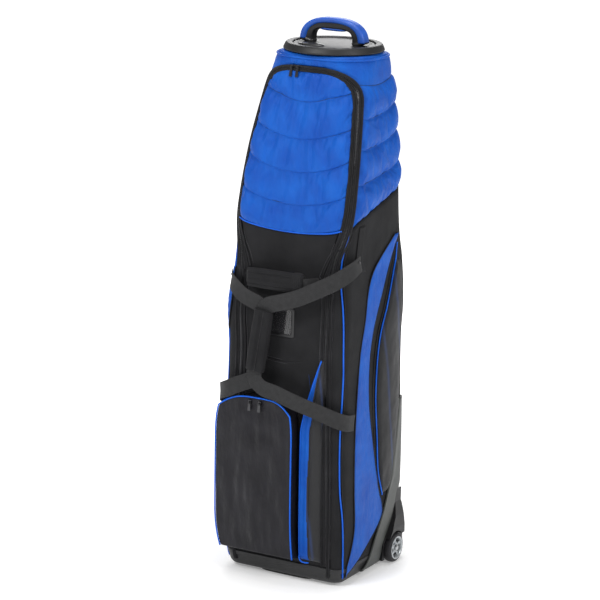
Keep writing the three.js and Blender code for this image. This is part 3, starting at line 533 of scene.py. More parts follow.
def cloth_grid(name, points, material, thick_mm=0.0, inside=None):
    """A panel from a grid of points [row][column], cleaned and thickened."""
    rows, cols = points.shape[:2]
    obj = new_object(name, points.reshape(-1, 3), grid_faces(rows, cols), material)
    clean(obj)
    if thick_mm:
        thicken(obj, thick_mm, inside)
    return obj


def wobble(points, size_mm, seed):
    """Smooth noise from -1 to 1 at each point, for wrinkles of about that size."""
    flat = points.reshape(-1, 3) / (size_mm * MM)
    values = [noise.noise(Vector(p) + Vector((seed * 7.3, seed * 3.1, seed * 5.7))) for p in flat]
    return np.array(values).reshape(points.shape[:-1])


def mirrored(obj, name):
    twin = obj.copy()
    twin.data = obj.data.copy()
    twin.name = name
    twin.data.name = name
    scene.collection.objects.link(twin)
    co = np.empty(len(twin.data.vertices) * 3, np.float32)
    twin.data.vertices.foreach_get("co", co)
    co = co.reshape(-1, 3)
    co[:, 0] *= -1
    twin.data.vertices.foreach_set("co", co.ravel())
    twin.data.flip_normals()
    return twin


def frames(path, facing):
    """Tangent, across and normal at each point of a path, with the normal close to facing."""
    path = np.asarray(path, float)
    tangent = np.gradient(path, axis=0)
    tangent /= np.linalg.norm(tangent, axis=1, keepdims=True)
    facing = np.broadcast_to(np.asarray(facing, float), path.shape)
    across = np.cross(tangent, facing)
    across /= np.maximum(np.linalg.norm(across, axis=1, keepdims=True), 1e-9)
    return tangent, across, np.cross(across, tangent)


def sweep(name, path, facing, section, material, scale=None, loop=False):
    """A solid whose section [(across, up), ...] in metres is carried along the path."""
    path = np.asarray(path, float)
    _, across, up = frames(path, facing)
    if loop:
        closed = np.concatenate([path[-2:-1], path, path[1:2]])
        around = np.broadcast_to(facing, path.shape)
        facings = np.concatenate([around[-2:-1], around, around[1:2]])
        _, across, up = (a[1:-1] for a in frames(closed, facings))
    section = np.asarray(section, float)
    scale = np.ones((len(path), 2)) if scale is None else np.asarray(scale, float)
    rings = (
        path[:, None]
        + across[:, None] * (section[None, :, :1] * scale[:, None, :1])
        + up[:, None] * (section[None, :, 1:] * scale[:, None, 1:])
    )
    n, m = rings.shape[:2]
    faces = grid_faces(n, m, closed=True)
    if not loop:
        faces += [tuple(range(m)), tuple(range((n - 1) * m, n * m))]
    along = np.concatenate([[0], np.cumsum(np.linalg.norm(np.diff(path, axis=0), axis=1))])
    uv = np.stack(
        [np.broadcast_to(section[None, :, 0], (n, m)), np.broadcast_to(along[:, None], (n, m))], -1
    )
    obj = new_object(name, rings.reshape(-1, 3), faces, material, uv=uv.reshape(-1, 2))
    b = bmesh.new()
    b.from_mesh(obj.data)
    if loop:
        bmesh.ops.remove_doubles(b, verts=b.verts, dist=1e-5)
    bmesh.ops.recalc_face_normals(b, faces=b.faces)
    b.to_mesh(obj.data)
    b.free()
    return obj


def disc(radius, n=10):
    a = np.linspace(0, 2 * math.pi, n, endpoint=False)
    return np.stack([np.cos(a), np.sin(a)], -1) * radius


def soft_box(width, thick, power=4.0, n=28):
    """A rounded rectangle as a superellipse, in metres."""
    a = np.linspace(0, 2 * math.pi, n, endpoint=False)
    c, s = np.cos(a), np.sin(a)
    flat = lambda v: np.sign(v) * np.abs(v) ** (2 / power)
    return np.stack([flat(c) * width / 2, flat(s) * thick / 2], -1)


def tube(name, path, radius_mm, material, facing=(0, -1, 0.01), loop=False):
    return sweep(name, path, facing, disc(radius_mm * MM), material, loop=loop)


def lathe(name, profile_mm, centre, material, segments=144, axis="Z"):
    """A closed profile of (radius, height) turned about an upright axis, in mm from centre."""
    profile = np.asarray(profile_mm, float) * MM
    turn = np.linspace(0, 2 * math.pi, segments, endpoint=False)[None]
    x, y, z = profile[:, :1] * np.cos(turn), profile[:, :1] * np.sin(turn), profile[:, 1:] + 0 * turn
    grid = np.stack([x, y, z], -1) if axis == "Z" else np.stack([z, x, y], -1)
    points = grid + np.asarray(centre)
    obj = new_object(name, points.reshape(-1, 3), grid_faces(len(profile), segments, closed=True), material)
    b = bmesh.new()
    b.from_mesh(obj.data)
    bmesh.ops.remove_doubles(b, verts=b.verts, dist=1e-6)
    bmesh.ops.recalc_face_normals(b, faces=b.faces)
    b.to_mesh(obj.data)
    b.free()
    return obj


def rounded(profile, radius=1.2, n=4):
    """A profile with its inner corners cut round."""
    out = [profile[0]]
    for a, b, c in zip(profile, profile[1:], profile[2:]):
        a, b, c = (np.array(p, float) for p in (a, b, c))
        la, lc = np.linalg.norm(a - b), np.linalg.norm(c - b)
        r = min(radius, la * 0.45, lc * 0.45)
        p, q = b + (a - b) / la * r, b + (c - b) / lc * r
        for t in np.linspace(0, 1, n):
            out.append(tuple((1 - t) ** 2 * p + 2 * t * (1 - t) * b + t * t * q))
    out.append(profile[-1])
    return out


def join(name, parts):
    """Several objects as one."""
    points, faces, owners, materials, uvs = [], [], [], [], []
    for part in parts:
        mesh = part.data
        base = len(points)
        points += [tuple(v.co) for v in mesh.vertices]
        layer = mesh.uv_layers.active
        for polygon in mesh.polygons:
            faces.append(tuple(base + i for i in polygon.vertices))
            material = mesh.materials[polygon.material_index]
            if material not in materials:
                materials.append(material)
            owners.append(materials.index(material))
            uvs += [tuple(layer.data[i].uv) if layer else (0, 0) for i in polygon.loop_indices]
        bpy.data.objects.remove(part)
    made = new_object(name, points, faces, materials[0])
    for material in materials[1:]:
        made.data.materials.append(material)
    made.data.polygons.foreach_set("material_index", owners)
    layer = made.data.uv_layers.new(name="map")
    layer.data.foreach_set("uv", np.array(uvs, np.float32).ravel())
    return made


def smooth_path(points, count=60):
    """A smooth line through given points, in mm of the section table; placed turns it into metres."""
    points = np.asarray(points, float)
    t = np.arange(len(points))
    fine = np.linspace(0, len(points) - 1, count)
    return np.stack([curve(list(zip(t, points[:, k])))(fine) for k in range(points.shape[1])], -1)


def placed(path_mm):
    path = np.asarray(path_mm, float)[:, :3] * MM
    path[:, 1] += SHIFT
    return path


def give(obj, body, slot, *nodes, pad=None):
    """Rides the piece on its body and hides the frame's pieces that it stands for."""
    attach(obj, body)
    if nodes:
        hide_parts(*nodes)
    return obj


# %% [markdown]
# The quilting is real padding: two layers of cloth over fibre fill, sewn together along curved
# channels. The rows of its grid follow the channels, so a seam is a row. In the simulation the
# seams and edges are pinned, the cloth is a little too big, and pressure fills it, which puckers
# it along each seam as sewing does. Small upright folds are laid in beside the seams first.

# %% Quilting helpers
def channel_rows(curves, per_channel):
    """Row functions between channel curves, with each row's share across its channel."""
    rows, shares = [], []
    for low, high, n in zip(curves, curves[1:], per_channel):
        for k in range(n):
            rows.append((low, high, k / n))
            shares.append(k / n)
    rows.append((curves[-2], curves[-1], 1.0))
    shares.append(0.0)
    return rows, np.array(shares)


def row_height(row, s):
    low, high, k = row
    return low(s) * (1 - k) + high(s) * k


HOOD_TOP = 1218.0


def hood_rim(s):
    """The hood's top edge, where the last band is only lightly filled."""
    return np.full_like(np.asarray(s, float), HOOD_TOP)


def puffed(share, puff_mm):
    """The filled height at a share of the way across a channel."""
    return puff_mm * (1 - abs(2 * share - 1) ** 2.3) ** 0.62 if 0 < share < 1 else -0.8


def quilt_grid(rows, shares, edges, cols, puff_mm, base_mm=0.0):
    """Points of a quilt: each row runs between its two edge stations, and seams sink in."""
    grid = []
    for row, share in zip(rows, shares):
        a, b = edges(row)
        middle = row_height(row, np.array((a + b) / 2))
        s = spread(a, b, float(middle), np.linspace(0, 1, cols))
        puff = puffed(share, 2.5 if row[1] is hood_rim else puff_mm)
        side = np.linspace(-1, 1, cols)
        rim = np.clip((1 - np.abs(side)) * 9, 0, 1) ** 0.6
        still = skin(s, row_height(row, s))
        arc = 4 * share * (1 - share)
        pinch = 7.0 * arc * (1 - arc) * rim * wobble(still * np.array([1, 1, 0.3]), 13, 31)
        grid.append(skin(s, row_height(row, s), base_mm + puff * rim + pinch))
    return np.array(grid)


def simulate(obj, pins, pressure=4.0, growth=0.06, frames_run=20, cap_mm=12.0):
    """Fills the cloth between its pinned points, caps each move, and keeps the result."""
    start = np.empty(len(obj.data.vertices) * 3, np.float32)
    obj.data.vertices.foreach_get("co", start)
    group = obj.vertex_groups.new(name="pins")
    group.add([int(i) for i in pins], 1.0, "REPLACE")
    cloth = obj.modifiers.new("cloth", "CLOTH")
    set_up = cloth.settings
    set_up.quality = 6
    set_up.mass = 0.25
    set_up.tension_stiffness = 18
    set_up.compression_stiffness = 12
    set_up.shear_stiffness = 6
    set_up.bending_stiffness = 0.4
    set_up.vertex_group_mass = "pins"
    set_up.shrink_min = -growth
    set_up.use_pressure = True
    set_up.uniform_pressure_force = pressure
    set_up.effector_weights.gravity = 0
    cloth.collision_settings.use_collision = False
    cloth.collision_settings.use_self_collision = False
    cloth.point_cache.frame_start = 1
    cloth.point_cache.frame_end = frames_run
    for step in range(1, frames_run + 1):
        scene.frame_set(step)
    graph = bpy.context.evaluated_depsgraph_get()
    shaped = obj.evaluated_get(graph).to_mesh()
    moved = np.empty_like(start)
    shaped.vertices.foreach_get("co", moved)
    obj.modifiers.remove(cloth)
    scene.frame_set(1)
    move = (moved - start).reshape(-1, 3)
    size = np.linalg.norm(move, axis=1, keepdims=True)
    move *= np.minimum(1, cap_mm * MM / np.maximum(size, 1e-9))
    obj.data.vertices.foreach_set("co", (start.reshape(-1, 3) + move).ravel())
    obj.data.update()
    print(obj.name, "moved up to", round(float(size.max() * 1000), 1), "mm")


def finer(obj, levels=1):
    modifier = obj.modifiers.new("finer", "SUBSURF")
    modifier.levels = levels
    modifier.render_levels = levels


# %% [markdown]
# The pad on the flap has five channels that hang like smiles between the two zips. It is widest at
# the bottom, where a blue piping closes it over the black cloth, and arched at the top.

# %% Front quilt
TAPE = {"near": 0.7, "far": 12.0}
PAD_EDGE = growing(TAPE["far"] - 2.0, 6.0)
smile = lambda depth: (lambda s: depth * np.minimum(1, np.abs(s) / 1.6) ** 2)
arch_line = zip_line(PAD_EDGE)


def pad_top(s):
    """Height of the zip's arch over a station, on the pad's side."""
    line_s, line_z = arch_line
    top = line_z > ARCH["from"] + 2
    return np.interp(np.abs(s), line_s[top][::-1], line_z[top][::-1])


def channel(middle, depth):
    return lambda s: middle + smile(depth)(s)


pad_curves = [
    channel(832.3, 22), channel(894, 36), channel(966, 40), channel(1040, 34), channel(1122, 30),
    pad_top
]
pad_rows, pad_shares = channel_rows(pad_curves, [14, 16, 16, 17, 16])


def pad_edges(row):
    """Where a pad row meets the zip, by walking to the crossing."""
    s = 1.4
    if row[1] is pad_top:
        row = (row[0], row[0], 0.0)
    for _ in range(12):
        s = 0.5 * s + 0.5 * float(opening(float(row_height(row, np.array(s))), PAD_EDGE))
    return -s, s


PAD_COLS = 71
QUILT_PUFF = 8.0
pad_points = quilt_grid(pad_rows, pad_shares, pad_edges, PAD_COLS, QUILT_PUFF)
front_quilt = new_object(
    "front_quilt", pad_points.reshape(-1, 3), grid_faces(*pad_points.shape[:2]), blue_twill
)
ids = np.arange(len(pad_rows) * PAD_COLS).reshape(len(pad_rows), PAD_COLS)
pad_pins = np.unique(np.concatenate([ids[pad_shares == 0].ravel(), ids[:, 0], ids[:, -1]]))
simulate(front_quilt, pad_pins, growth=0.05, cap_mm=6)
# A thin navy tube lies along each inner seam: it stands for the stitch thread, and its dark colour is
# painted shade in the seam's crease.
seam_thread_and_shade_lines = []
for c in pad_curves[1:-1]:
    line_s = np.linspace(-1, 1, 80) * pad_edges((c, c, 0.0))[1]
    seam_thread_and_shade_lines.append(tube("seam", skin(line_s, c(line_s), 0.4), 1.0, navy_cloth_and_seam_shade, facing=(0, -1, 0.2)))
give(join("front_quilt_seam_thread_and_shade", seam_thread_and_shade_lines), "front_flap", "blue_nylon")
clean(front_quilt)
thicken(front_quilt, 3.0, lining)
finer(front_quilt)
give(front_quilt, "front_flap", "blue_nylon", "flap_quilt", pad=0.7)
print("front quilt", len(pad_rows), "rows of", PAD_COLS)

# %% [markdown]
# The hood goes from the zip round to the middle of the back, and over the zip's arch under the
# crown. Its right half is simulated and then mirrored.

# %% Hood
LOWER_TOP = 838
SLANT = 92
seam_height = lambda s: LOWER_TOP + SLANT * np.clip((np.abs(s) - 1.5) / 2, 0, 1)
HOOD_EDGE = growing(2.0 - TAPE["far"], -2.0)


def hood_channel(front, back):
    """A seam that sags a little between the front corner and the back one."""
    def at(s):
        t = np.clip((np.abs(s) - 1.6) / 1.7, 0, 1)
        return front + (back - front) * t - 9 * 4 * t * (1 - t)
    return at


hood_curves = [
    seam_height,
    hood_channel(942, 979),
    hood_channel(1022, 1048),
    hood_channel(1090, 1111),
    hood_channel(1165, 1172),
    hood_rim,
]
hood_rows, hood_shares = channel_rows(hood_curves, [18, 16, 14, 15, 12])
NOTCH = ARCH["top"] + 2.0  # over this height the hood closes above the arch


def hood_edges(row):
    s = 1.5
    for _ in range(12):
        s = 0.5 * s + 0.5 * float(opening(float(row_height(row, np.array(s))), HOOD_EDGE))
    return s, 5.0


HOOD_COLS = 84
INNER_COLS = 14
hood_points = quilt_grid(hood_rows, hood_shares, hood_edges, HOOD_COLS, QUILT_PUFF, -3.5)
over = [i for i, row in enumerate(hood_rows) if row_height(row, np.array(0.9)) > NOTCH - 1]
inner = []
for i in over:
    edge = hood_edges(hood_rows[i])[0]
    s = spread(0.0, edge, NOTCH, np.linspace(0, 1, INNER_COLS + 1))[:-1]
    share = hood_shares[i]
    inner.append(
        skin(
            s, row_height(hood_rows[i], s),
            puffed(share, 2.5 if hood_rows[i][1] is hood_rim else QUILT_PUFF) - 3.5
        )
    )
inner = np.array(inner)
main_count = hood_points.shape[0] * HOOD_COLS
hood_all = np.concatenate([hood_points.reshape(-1, 3), inner.reshape(-1, 3)])
hood_faces = grid_faces(len(hood_rows), HOOD_COLS)
hood_ids = np.arange(main_count).reshape(-1, HOOD_COLS)
inner_ids = main_count + np.arange(inner.shape[0] * INNER_COLS).reshape(-1, INNER_COLS)
patch_ids = np.concatenate([inner_ids, hood_ids[over, :1]], axis=1)
for i in range(len(over) - 1):
    for j in range(INNER_COLS):
        hood_faces.append(
            (patch_ids[i, j], patch_ids[i, j + 1], patch_ids[i + 1, j + 1], patch_ids[i + 1, j])
        )
hood_half = new_object("quilted_hood", hood_all, [tuple(int(k) for k in f) for f in hood_faces], blue_twill)
band_rows = np.array([row[1] is hood_rim for row in hood_rows])
hood_pins = [
    hood_ids[band_rows].ravel(), hood_ids[hood_shares == 0].ravel(), hood_ids[: over[0] + 1, 0],
    hood_ids[:, -1], inner_ids[0], inner_ids[-1], inner_ids[:, 0]
]
simulate(hood_half, np.unique(np.concatenate(hood_pins)), growth=0.04, cap_mm=5)
# The same navy tubes lie along the hood's seams on both sides: stitch thread, darkened as painted shade in
# the creases.
hood_seam_thread_and_shade_lines = []
for side in (1, -1):
    for c in hood_curves[1:-1]:
        line_s = np.linspace(hood_edges((c, c, 0.0))[0] + 0.05, 5.0, 110)
        seam = skin(side * line_s, c(line_s), -3.4)
        hood_seam_thread_and_shade_lines.append(tube("seam", seam, 1.0, navy_cloth_and_seam_shade, facing=(0, 0, 1)))
give(join("hood_seam_thread_and_shade", hood_seam_thread_and_shade_lines), "case_shell", "blue_nylon")
other_half = mirrored(hood_half, "hood_left_half")
hood = join("quilted_hood_panel", [hood_half, other_half])
clean(hood, 0.3)
thicken(hood, 3.0, lining)
finer(hood)
give(
    hood, "case_shell", "blue_nylon", "hood_side_right", "hood_side_left", "hood_back",
    "hood_cover", pad=0.7
)
print("hood", len(hood.data.vertices), "points")

# %% [markdown]
# The hood closes over the top in a flat round of cloth that the crown is screwed to, with a bound
# edge all round.

# %% Hood top and binding
turn_stations = np.linspace(-5, 5, 161)
shrink = np.linspace(0, 1, 6)[:, None]
top_edge = skin(turn_stations, HOOD_TOP, -2.5)
middle = np.array([0, CROWN_Y * MM + SHIFT, HOOD_TOP * MM])
top_grid = top_edge[None] * (1 - shrink[..., None] * 0.35) + middle * shrink[..., None] * 0.35
top_grid[..., 2] += 7.6 * MM * np.sin(np.minimum(1, shrink * 3) * math.pi / 2)
hood_top = cloth_grid("hood_top_panel", top_grid, blue_twill, 2.0)
give(hood_top, "case_shell", "blue_nylon")
binding = tube(
    "hood_top_binding", skin(turn_stations, HOOD_TOP - 1, -1.8), 2.6, blue_twill, facing=(0, 0, 1),
    loop=True
)
give(binding, "case_shell", "blue_nylon")

# %% [markdown]
# The black body panels are pack cloth over thin foam. They run from the zip round to the back
# corner, with long shallow waves where the cloth hangs between the moulded base and the hood, and
# a lining inside.

# %% Side and back panels
FLOOR_ROW = 45.5
HOUSING = {"front": 76, "top": 170}


def wrinkled(s, z, out, size=90, depth=2.2, seed=1):
    """Skin points pushed in and out by two sizes of noise, still at the grid's edges."""
    base = skin(s, z, out)
    rows, cols = base.shape[:2]
    i = np.minimum(np.arange(rows), np.arange(rows)[::-1])[:, None] / 4
    j = np.minimum(np.arange(cols), np.arange(cols)[::-1])[None] / 4
    calm = np.clip(i, 0, 1) * np.clip(j, 0, 1)
    stretched = base * np.array([1, 1, 0.45])
    push = depth * wobble(stretched, size, seed) + 0.35 * depth * wobble(stretched, size * 0.3, seed + 1)
    return skin(s, z, out + push * calm)


def side_panel():
    heights = np.linspace(0, 1, 96)
    stations, levels = [], []
    for k in heights:
        z = FLOOR_ROW + (LOWER_TOP - FLOOR_ROW) * k
        s = spread(float(opening(z, -TAPE["far"] + 1)), 3.5, z, np.linspace(0, 1, 70))
        lift = np.clip((z - 700) / (LOWER_TOP - 700), 0, 1)
        stations.append(s)
        levels.append(z + (seam_height(s) - LOWER_TOP) * lift + 2 * (k == 1))
    grid = wrinkled(np.array(stations), np.array(levels), 0.0)
    obj = new_object("side_panel_right", grid.reshape(-1, 3), grid_faces(*grid.shape[:2]), black_cloth)
    b = bmesh.new()
    b.from_mesh(obj.data)
    front = HOUSING["front"] * MM + SHIFT
    hidden = []
    for face in b.faces:
        at = face.calc_center_median()
        if at.y > front + 0.02 and at.z < (HOUSING["top"] - 8) * MM:
            hidden.append(face)
    bmesh.ops.delete(b, geom=hidden, context="FACES")
    b.to_mesh(obj.data)
    b.free()
    clean(obj)
    return obj


panel_right = side_panel()
panel_left = mirrored(panel_right, "side_panel_left")
for panel, side in ((panel_right, "right"), (panel_left, "left")):
    thicken(panel, 4.0, lining)
    give(panel, "case_shell", "black_nylon", "side_wall_" + side, "front_jamb_" + side)
back_s = np.broadcast_to(np.linspace(3.5, 6.5, 60)[None], (90, 60))
back_z = np.broadcast_to(np.linspace(FLOOR_ROW, LOWER_TOP + SLANT, 90)[:, None], (90, 60))
back_panel = cloth_grid("back_panel", wrinkled(back_s, back_z, 0.0, seed=4), black_cloth, 4.0, lining)
give(back_panel, "case_shell", "black_nylon", "back_wall")

# %% [markdown]
# The lower part of the flap is the same cloth. A short strip below it fills the gap between the base and
# the flap, because on the real case the flap's cloth simply runs on into the base.

# %% Flap panel and its fold
FLAP_FROM = 50.0
flap_rows = 90
flap_cols = 61
stations, levels = [], []
for k in np.linspace(0, 1, flap_rows):
    z = FLAP_FROM + (832 - FLAP_FROM) * k
    edge = float(opening(z, TAPE["far"] - 1))
    s = spread(-edge, edge, z, np.linspace(0, 1, flap_cols))
    lift = np.clip((z - 640) / (832 - 640), 0, 1)
    stations.append(s)
    levels.append(z + smile(22)(s) * lift)
flap_grid = wrinkled(np.array(stations), np.array(levels), 0.0, size=80, depth=2.6, seed=9)
flap_panel = cloth_grid("flap_panel", flap_grid, black_cloth, 4.0, lining)
give(flap_panel, "front_flap", "black_nylon", "flap_lower")

fold_s = np.linspace(-0.95, 0.95, 40)
fold_z = np.linspace(40, 56, 9)
fold_grid = skin(fold_s[None], fold_z[:, None], -1.2)
flap_fold = cloth_grid("flap_fold_strip", fold_grid, black_cloth, 1.5)
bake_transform(flap_fold)

# %% [markdown]
# The zips are coil zips: two woven tapes, each with a thick welt along it, and teeth between them.
# The teeth are one mesh, a small block at every pitch along the line, and stay with the body when
# the flap opens on one half and with the flap on the other.

# %% Zip tapes
def both_sides(line_s, line_z):
    """A right-hand line carried over the arch and down the left side."""
    return np.concatenate([line_s, -line_s[::-1]]), np.concatenate([line_z, line_z[::-1]])


def tape(name, near, far, low, body, node):
    a_s, a_z = zip_line(near, low)
    b_s, b_z = zip_line(far, low)
    across = np.linspace(0, 1, 7)[None]
    s = a_s[:, None] * (1 - across) + b_s[:, None] * across
    z = a_z[:, None] * (1 - across) + b_z[:, None] * across
    lift = 1.4 + 0.8 * np.sin(math.pi * across)
    s2, z2 = np.concatenate([s, -s[::-1]]), np.concatenate([z, z[::-1]])
    grid = skin(s2, z2, np.broadcast_to(lift, s2.shape))
    obj = cloth_grid(name, grid, zip_cloth, 1.6)
    welts = []
    for share, radius in ((0.36, 1.4), (0.72, 1.2), (1.0, 1.9)):
        line_s, line_z = both_sides(*zip_line(lambda up: near * (1 - share) + far(up) * share, low))
        welts.append(tube(name + "_welt", skin(line_s, line_z, 2.3), radius, welt_cloth, facing=(0, 0, 1)))
    welts = join(name + "_welts", welts)
    give(obj, body, "zip_tape", node)
    give(welts, body, "zip_tape")
    return obj


tape("zip_tape_outer", -TAPE["near"], growing(-TAPE["far"], -3.0), 22.0, "case_shell", "zip_tape_body")
tape("zip_tape_inner", TAPE["near"], growing(TAPE["far"], 7.0), 50.0, "front_flap", "zip_tape_flap")


def zip_teeth(name, inset, pitch_mm, body):
    """Blocks at every pitch along one half of the zip."""
    line_s, line_z = both_sides(*zip_line(inset, 50.0, 2.0))
    path = skin(line_s, line_z, 1.6)
    length = np.concatenate([[0], np.cumsum(np.linalg.norm(np.diff(path, axis=0), axis=1))])
    at = np.arange(2 * MM, length[-1], pitch_mm * MM)
    centres = np.stack([np.interp(at, length, path[:, k]) for k in range(3)], -1)
    outward = skin(line_s, line_z, 6.0) - path
    facing = np.stack([np.interp(at, length, outward[:, k]) for k in range(3)], -1)
    along, across, up = frames(centres, facing)
    size = np.array([0.55, 1.5, 0.9]) * MM
    corners = np.array([(i, j, k) for i in (-1, 1) for j in (-1, 1) for k in (-1, 1)]) * size
    axes = np.stack([along, across, up], 1)
    points = centres[:, None] + np.einsum("cd,ndk->nck", corners, axes)
    box = [(0, 1, 3, 2), (4, 6, 7, 5), (0, 4, 5, 1), (2, 3, 7, 6), (0, 2, 6, 4), (1, 5, 7, 3)]
    faces = [tuple(8 * n + i for i in face) for n in range(len(centres)) for face in box]
    obj = new_object(name, points.reshape(-1, 3), faces, pull_metal, smooth=False)
    give(obj, body, "zip_tape")
    print(name, len(centres), "teeth")


zip_teeth("zip_teeth_outer", -0.9, 3.0, "case_shell")
zip_teeth("zip_teeth_inner", 0.9, 3.0, "front_flap")


# %% [markdown]
# Piping is a cord wrapped in cloth and sewn into a seam. Here each run is a round tube along a line
# on the skin: the arc under the quilt, the line beside the zip on each corner, and the pocket edges.

# %% Piping on the body
def skin_line(stops, out, count=120):
    """A line on the skin through (height, station) stops."""
    line = curve([(z, s) for z, s in stops])
    z = np.linspace(stops[0][0], stops[-1][0], count)
    return skin(line(z), z, out)


def pair(name, right, body, slot):
    """A piece and its mirror image."""
    left = mirrored(right, name + "_left")
    right.name = name + "_right"
    give(right, body, slot)
    give(left, body, slot)


arc_s = np.linspace(-1, 1, 80) * pad_edges(pad_rows[0])[1]
arc = tube(
    "quilt_piping", skin(arc_s, pad_curves[0](arc_s) - 1.5, 2.2), 2.1, piping_cloth,
    facing=(0, -1, 0.2)
)
give(arc, "front_flap", "blue_nylon")
corner_stops = [
    (20, 1.75), (60, 1.72), (100, 1.72), (167, 1.66), (240, 1.5), (356, 1.47), (461, 1.58),
    (527, 1.62), (657, 1.5), (728, 1.38), (784, 1.42), (836, 1.62)
]
corner = tube("corner_piping", skin_line(corner_stops, 1.6), 1.8, piping_cloth, facing=(0, 0, 1))
corner_welt = tube(
    "corner_welt", skin_line([(z, s + 0.11) for z, s in corner_stops], 0.4), 1.3, welt_cloth,
    facing=(0, 0, 1)
)
pair("corner_piping", corner, "case_shell", "blue_nylon")
pair("corner_welt", corner_welt, "case_shell", "black_nylon")

# %% [markdown]
# Each side carries a blue band that sweeps from the waist down to the front corner of the base,
# edged in black, and behind it a pocket. On the left the band starts further forward, beside the
# zip. The bands are thin cloth laid on the wall and padded a little.

# %% Side bands
band_front = curve(
    [
        (20, -140), (64, -119), (131, -99), (231, -106), (340, -108), (457, -98), (607, -77),
        (725, -40), (806, 72)
    ]
)
band_back = curve(
    [
        (20, -138), (48, -72), (80, -22), (112, 22), (140, 42), (198, 20), (317, -16), (444, -40),
        (607, -24), (708, 30), (806, 92)
    ]
)
left_front = curve(
    [(52, 2.1), (231, 2.16), (457, 2.22), (500, 2.06), (550, 1.78), (610, 1.42), (660, 1.28), (730, 1.36)]
)
left_back = curve(
    [
        (52, 2.35), (140, 2.95), (317, 2.6), (440, 2.5), (500, 2.42), (550, 2.3), (610, 2.02),
        (660, 1.8), (730, 1.44)
    ]
)


def band(name, front, back, side, low, high):
    z = np.linspace(low, high, 130)[:, None]
    share = np.linspace(0, 1, 15)[None]
    s = side * (front(z) * (1 - share) + back(z) * share)
    levels = np.broadcast_to(z, s.shape)
    bulge = (4 * share * (1 - share)) ** 0.5
    ripple = 1.1 * wobble(skin(s, levels) * np.array([1, 1, 2.0]), 26, 3)
    panel = cloth_grid(name, skin(s, levels, 2.0 + bulge * (2.2 + ripple)), blue_twill, 1.6)
    give(panel, "case_shell", "blue_nylon", "side_band_" + ("right" if side > 0 else "left"))
    zz = np.linspace(low, high, 150)
    lines = [skin(side * edge(zz), zz, 2.2) for edge in (front, back)]
    edges = [tube("edge", line, 1.5, welt_cloth, facing=(0, 0, 1)) for line in lines]
    give(join(name + "_edges", edges), "case_shell", "black_nylon")


band(
    "side_band_cloth_right", lambda z: side_station(band_front(z), z),
    lambda z: side_station(band_back(z), z), 1, 21, 805
)
band("side_band_cloth_left", left_front, left_back, -1, 53, 730)

# %% [markdown]
# The side pocket is a flat patch pocket with a little fullness, piped in blue along its curved
# front edge, with a black welt ahead of the piping. Its outline leans over the grey rail below.

# %% Side pockets
POCKET = {"from": 186, "top": 744}
pocket_front = curve([(186, 36), (247, 12), (326, 3), (440, -6), (580, 10), (640, 34), (744, 80)])
rail_front = curve([(14, -46), (27, -25), (80, 4), (136, 40), (198, 66), (281, 84), (400, 106)])


def side_pocket():
    q = np.linspace(0, 1, 90)[:, None]
    k = np.linspace(0, 1, 34)[None]
    z = POCKET["from"] + (POCKET["top"] - POCKET["from"]) * q + 0 * k
    y = pocket_front(z) * (1 - k) + np.minimum(rail_front(z) - 5, 110) * k
    rise = np.clip(k / 0.07, 0, 1) ** 0.5 * np.clip((1 - k) / 0.07, 0, 1) ** 0.5
    rise = rise * np.clip(q / 0.03, 0, 1) ** 0.5 * np.clip((1 - q) / 0.03, 0, 1) ** 0.5
    s = side_station(y, z)
    still = skin(s, z)
    wrinkle = 2.6 * wobble(still * np.array([1, 1.3, 0.8]), 42, 12) + 1.0 * wobble(still, 16, 13)
    out = 1 + rise * (8 + 11 * 16 * q * (1 - q) * k * (1 - k) + wrinkle)
    return cloth_grid("side_pocket_cloth_right", skin(s, z, out), printed, 1.6)


pocket_right = side_pocket()
pocket_left = mirrored(pocket_right, "side_pocket_cloth_left")
give(pocket_right, "case_shell", "smooth_nylon", "side_pocket_right")
give(pocket_left, "case_shell", "smooth_nylon", "side_pocket_left")
edge_z = np.linspace(POCKET["from"] - 4, POCKET["top"] + 40, 150)
edge_y = pocket_front(
    np.clip(edge_z, POCKET["from"], POCKET["top"])
) + np.clip(edge_z - POCKET["top"], 0, 60) * 0.15
pocket_piping = tube(
    "pocket_piping", skin(side_station(edge_y - 2, edge_z), edge_z, 3.0), 1.7, piping_cloth,
    facing=(0, 0, 1)
)
pair("side_pocket_piping", pocket_piping, "case_shell", "blue_nylon")
back_welt = tube(
    "band_welt", skin(side_station(edge_y - 13, edge_z), edge_z, 1.2), 1.6, welt_cloth,
    facing=(0, 0, 1)
)
pair("side_pocket_welt", back_welt, "case_shell", "black_nylon")

# %% [markdown]
# The front pocket is the big one: coated nylon, arched at the top, leaning out over the left edge
# of the flap, with blue piping on both edges of its side panel. It is simulated as cloth that is a
# bit too big between its piped edges, so it wrinkles down from the top corners as the real one does.

# %% Front pocket
FRONT_POCKET = {"left": -116, "right": 48, "from": 60, "shoulder": 330, "top": 446, "depth": 36, "lean": 40}


def front_pocket_point(k, q, d):
    P = FRONT_POCKET
    drop = 34 * np.abs(2 * k - 1) ** 4 * np.clip(q * 2 - 1, 0, 1) ** 2  # the top's round corners
    z = P["from"] + (P["top"] - P["from"]) * q - drop
    up = np.clip((z - P["shoulder"]) / (P["top"] - P["shoulder"]), 0, 1)
    x0 = P["left"] + 22 * up**3 + 14 * np.clip(1 - q * 4, 0, 1) ** 2
    x1 = P["right"] - 16 * up**3 + 5 * np.clip(1 - q * 3, 0, 1) ** 2
    x = x0 + (x1 - x0) * k - P["lean"] * (1 - k) ** 2 * (d / P["depth"])
    y = front_at(z) - 2 - d
    return np.stack([x * MM, y * MM + SHIFT, z * MM], -1)


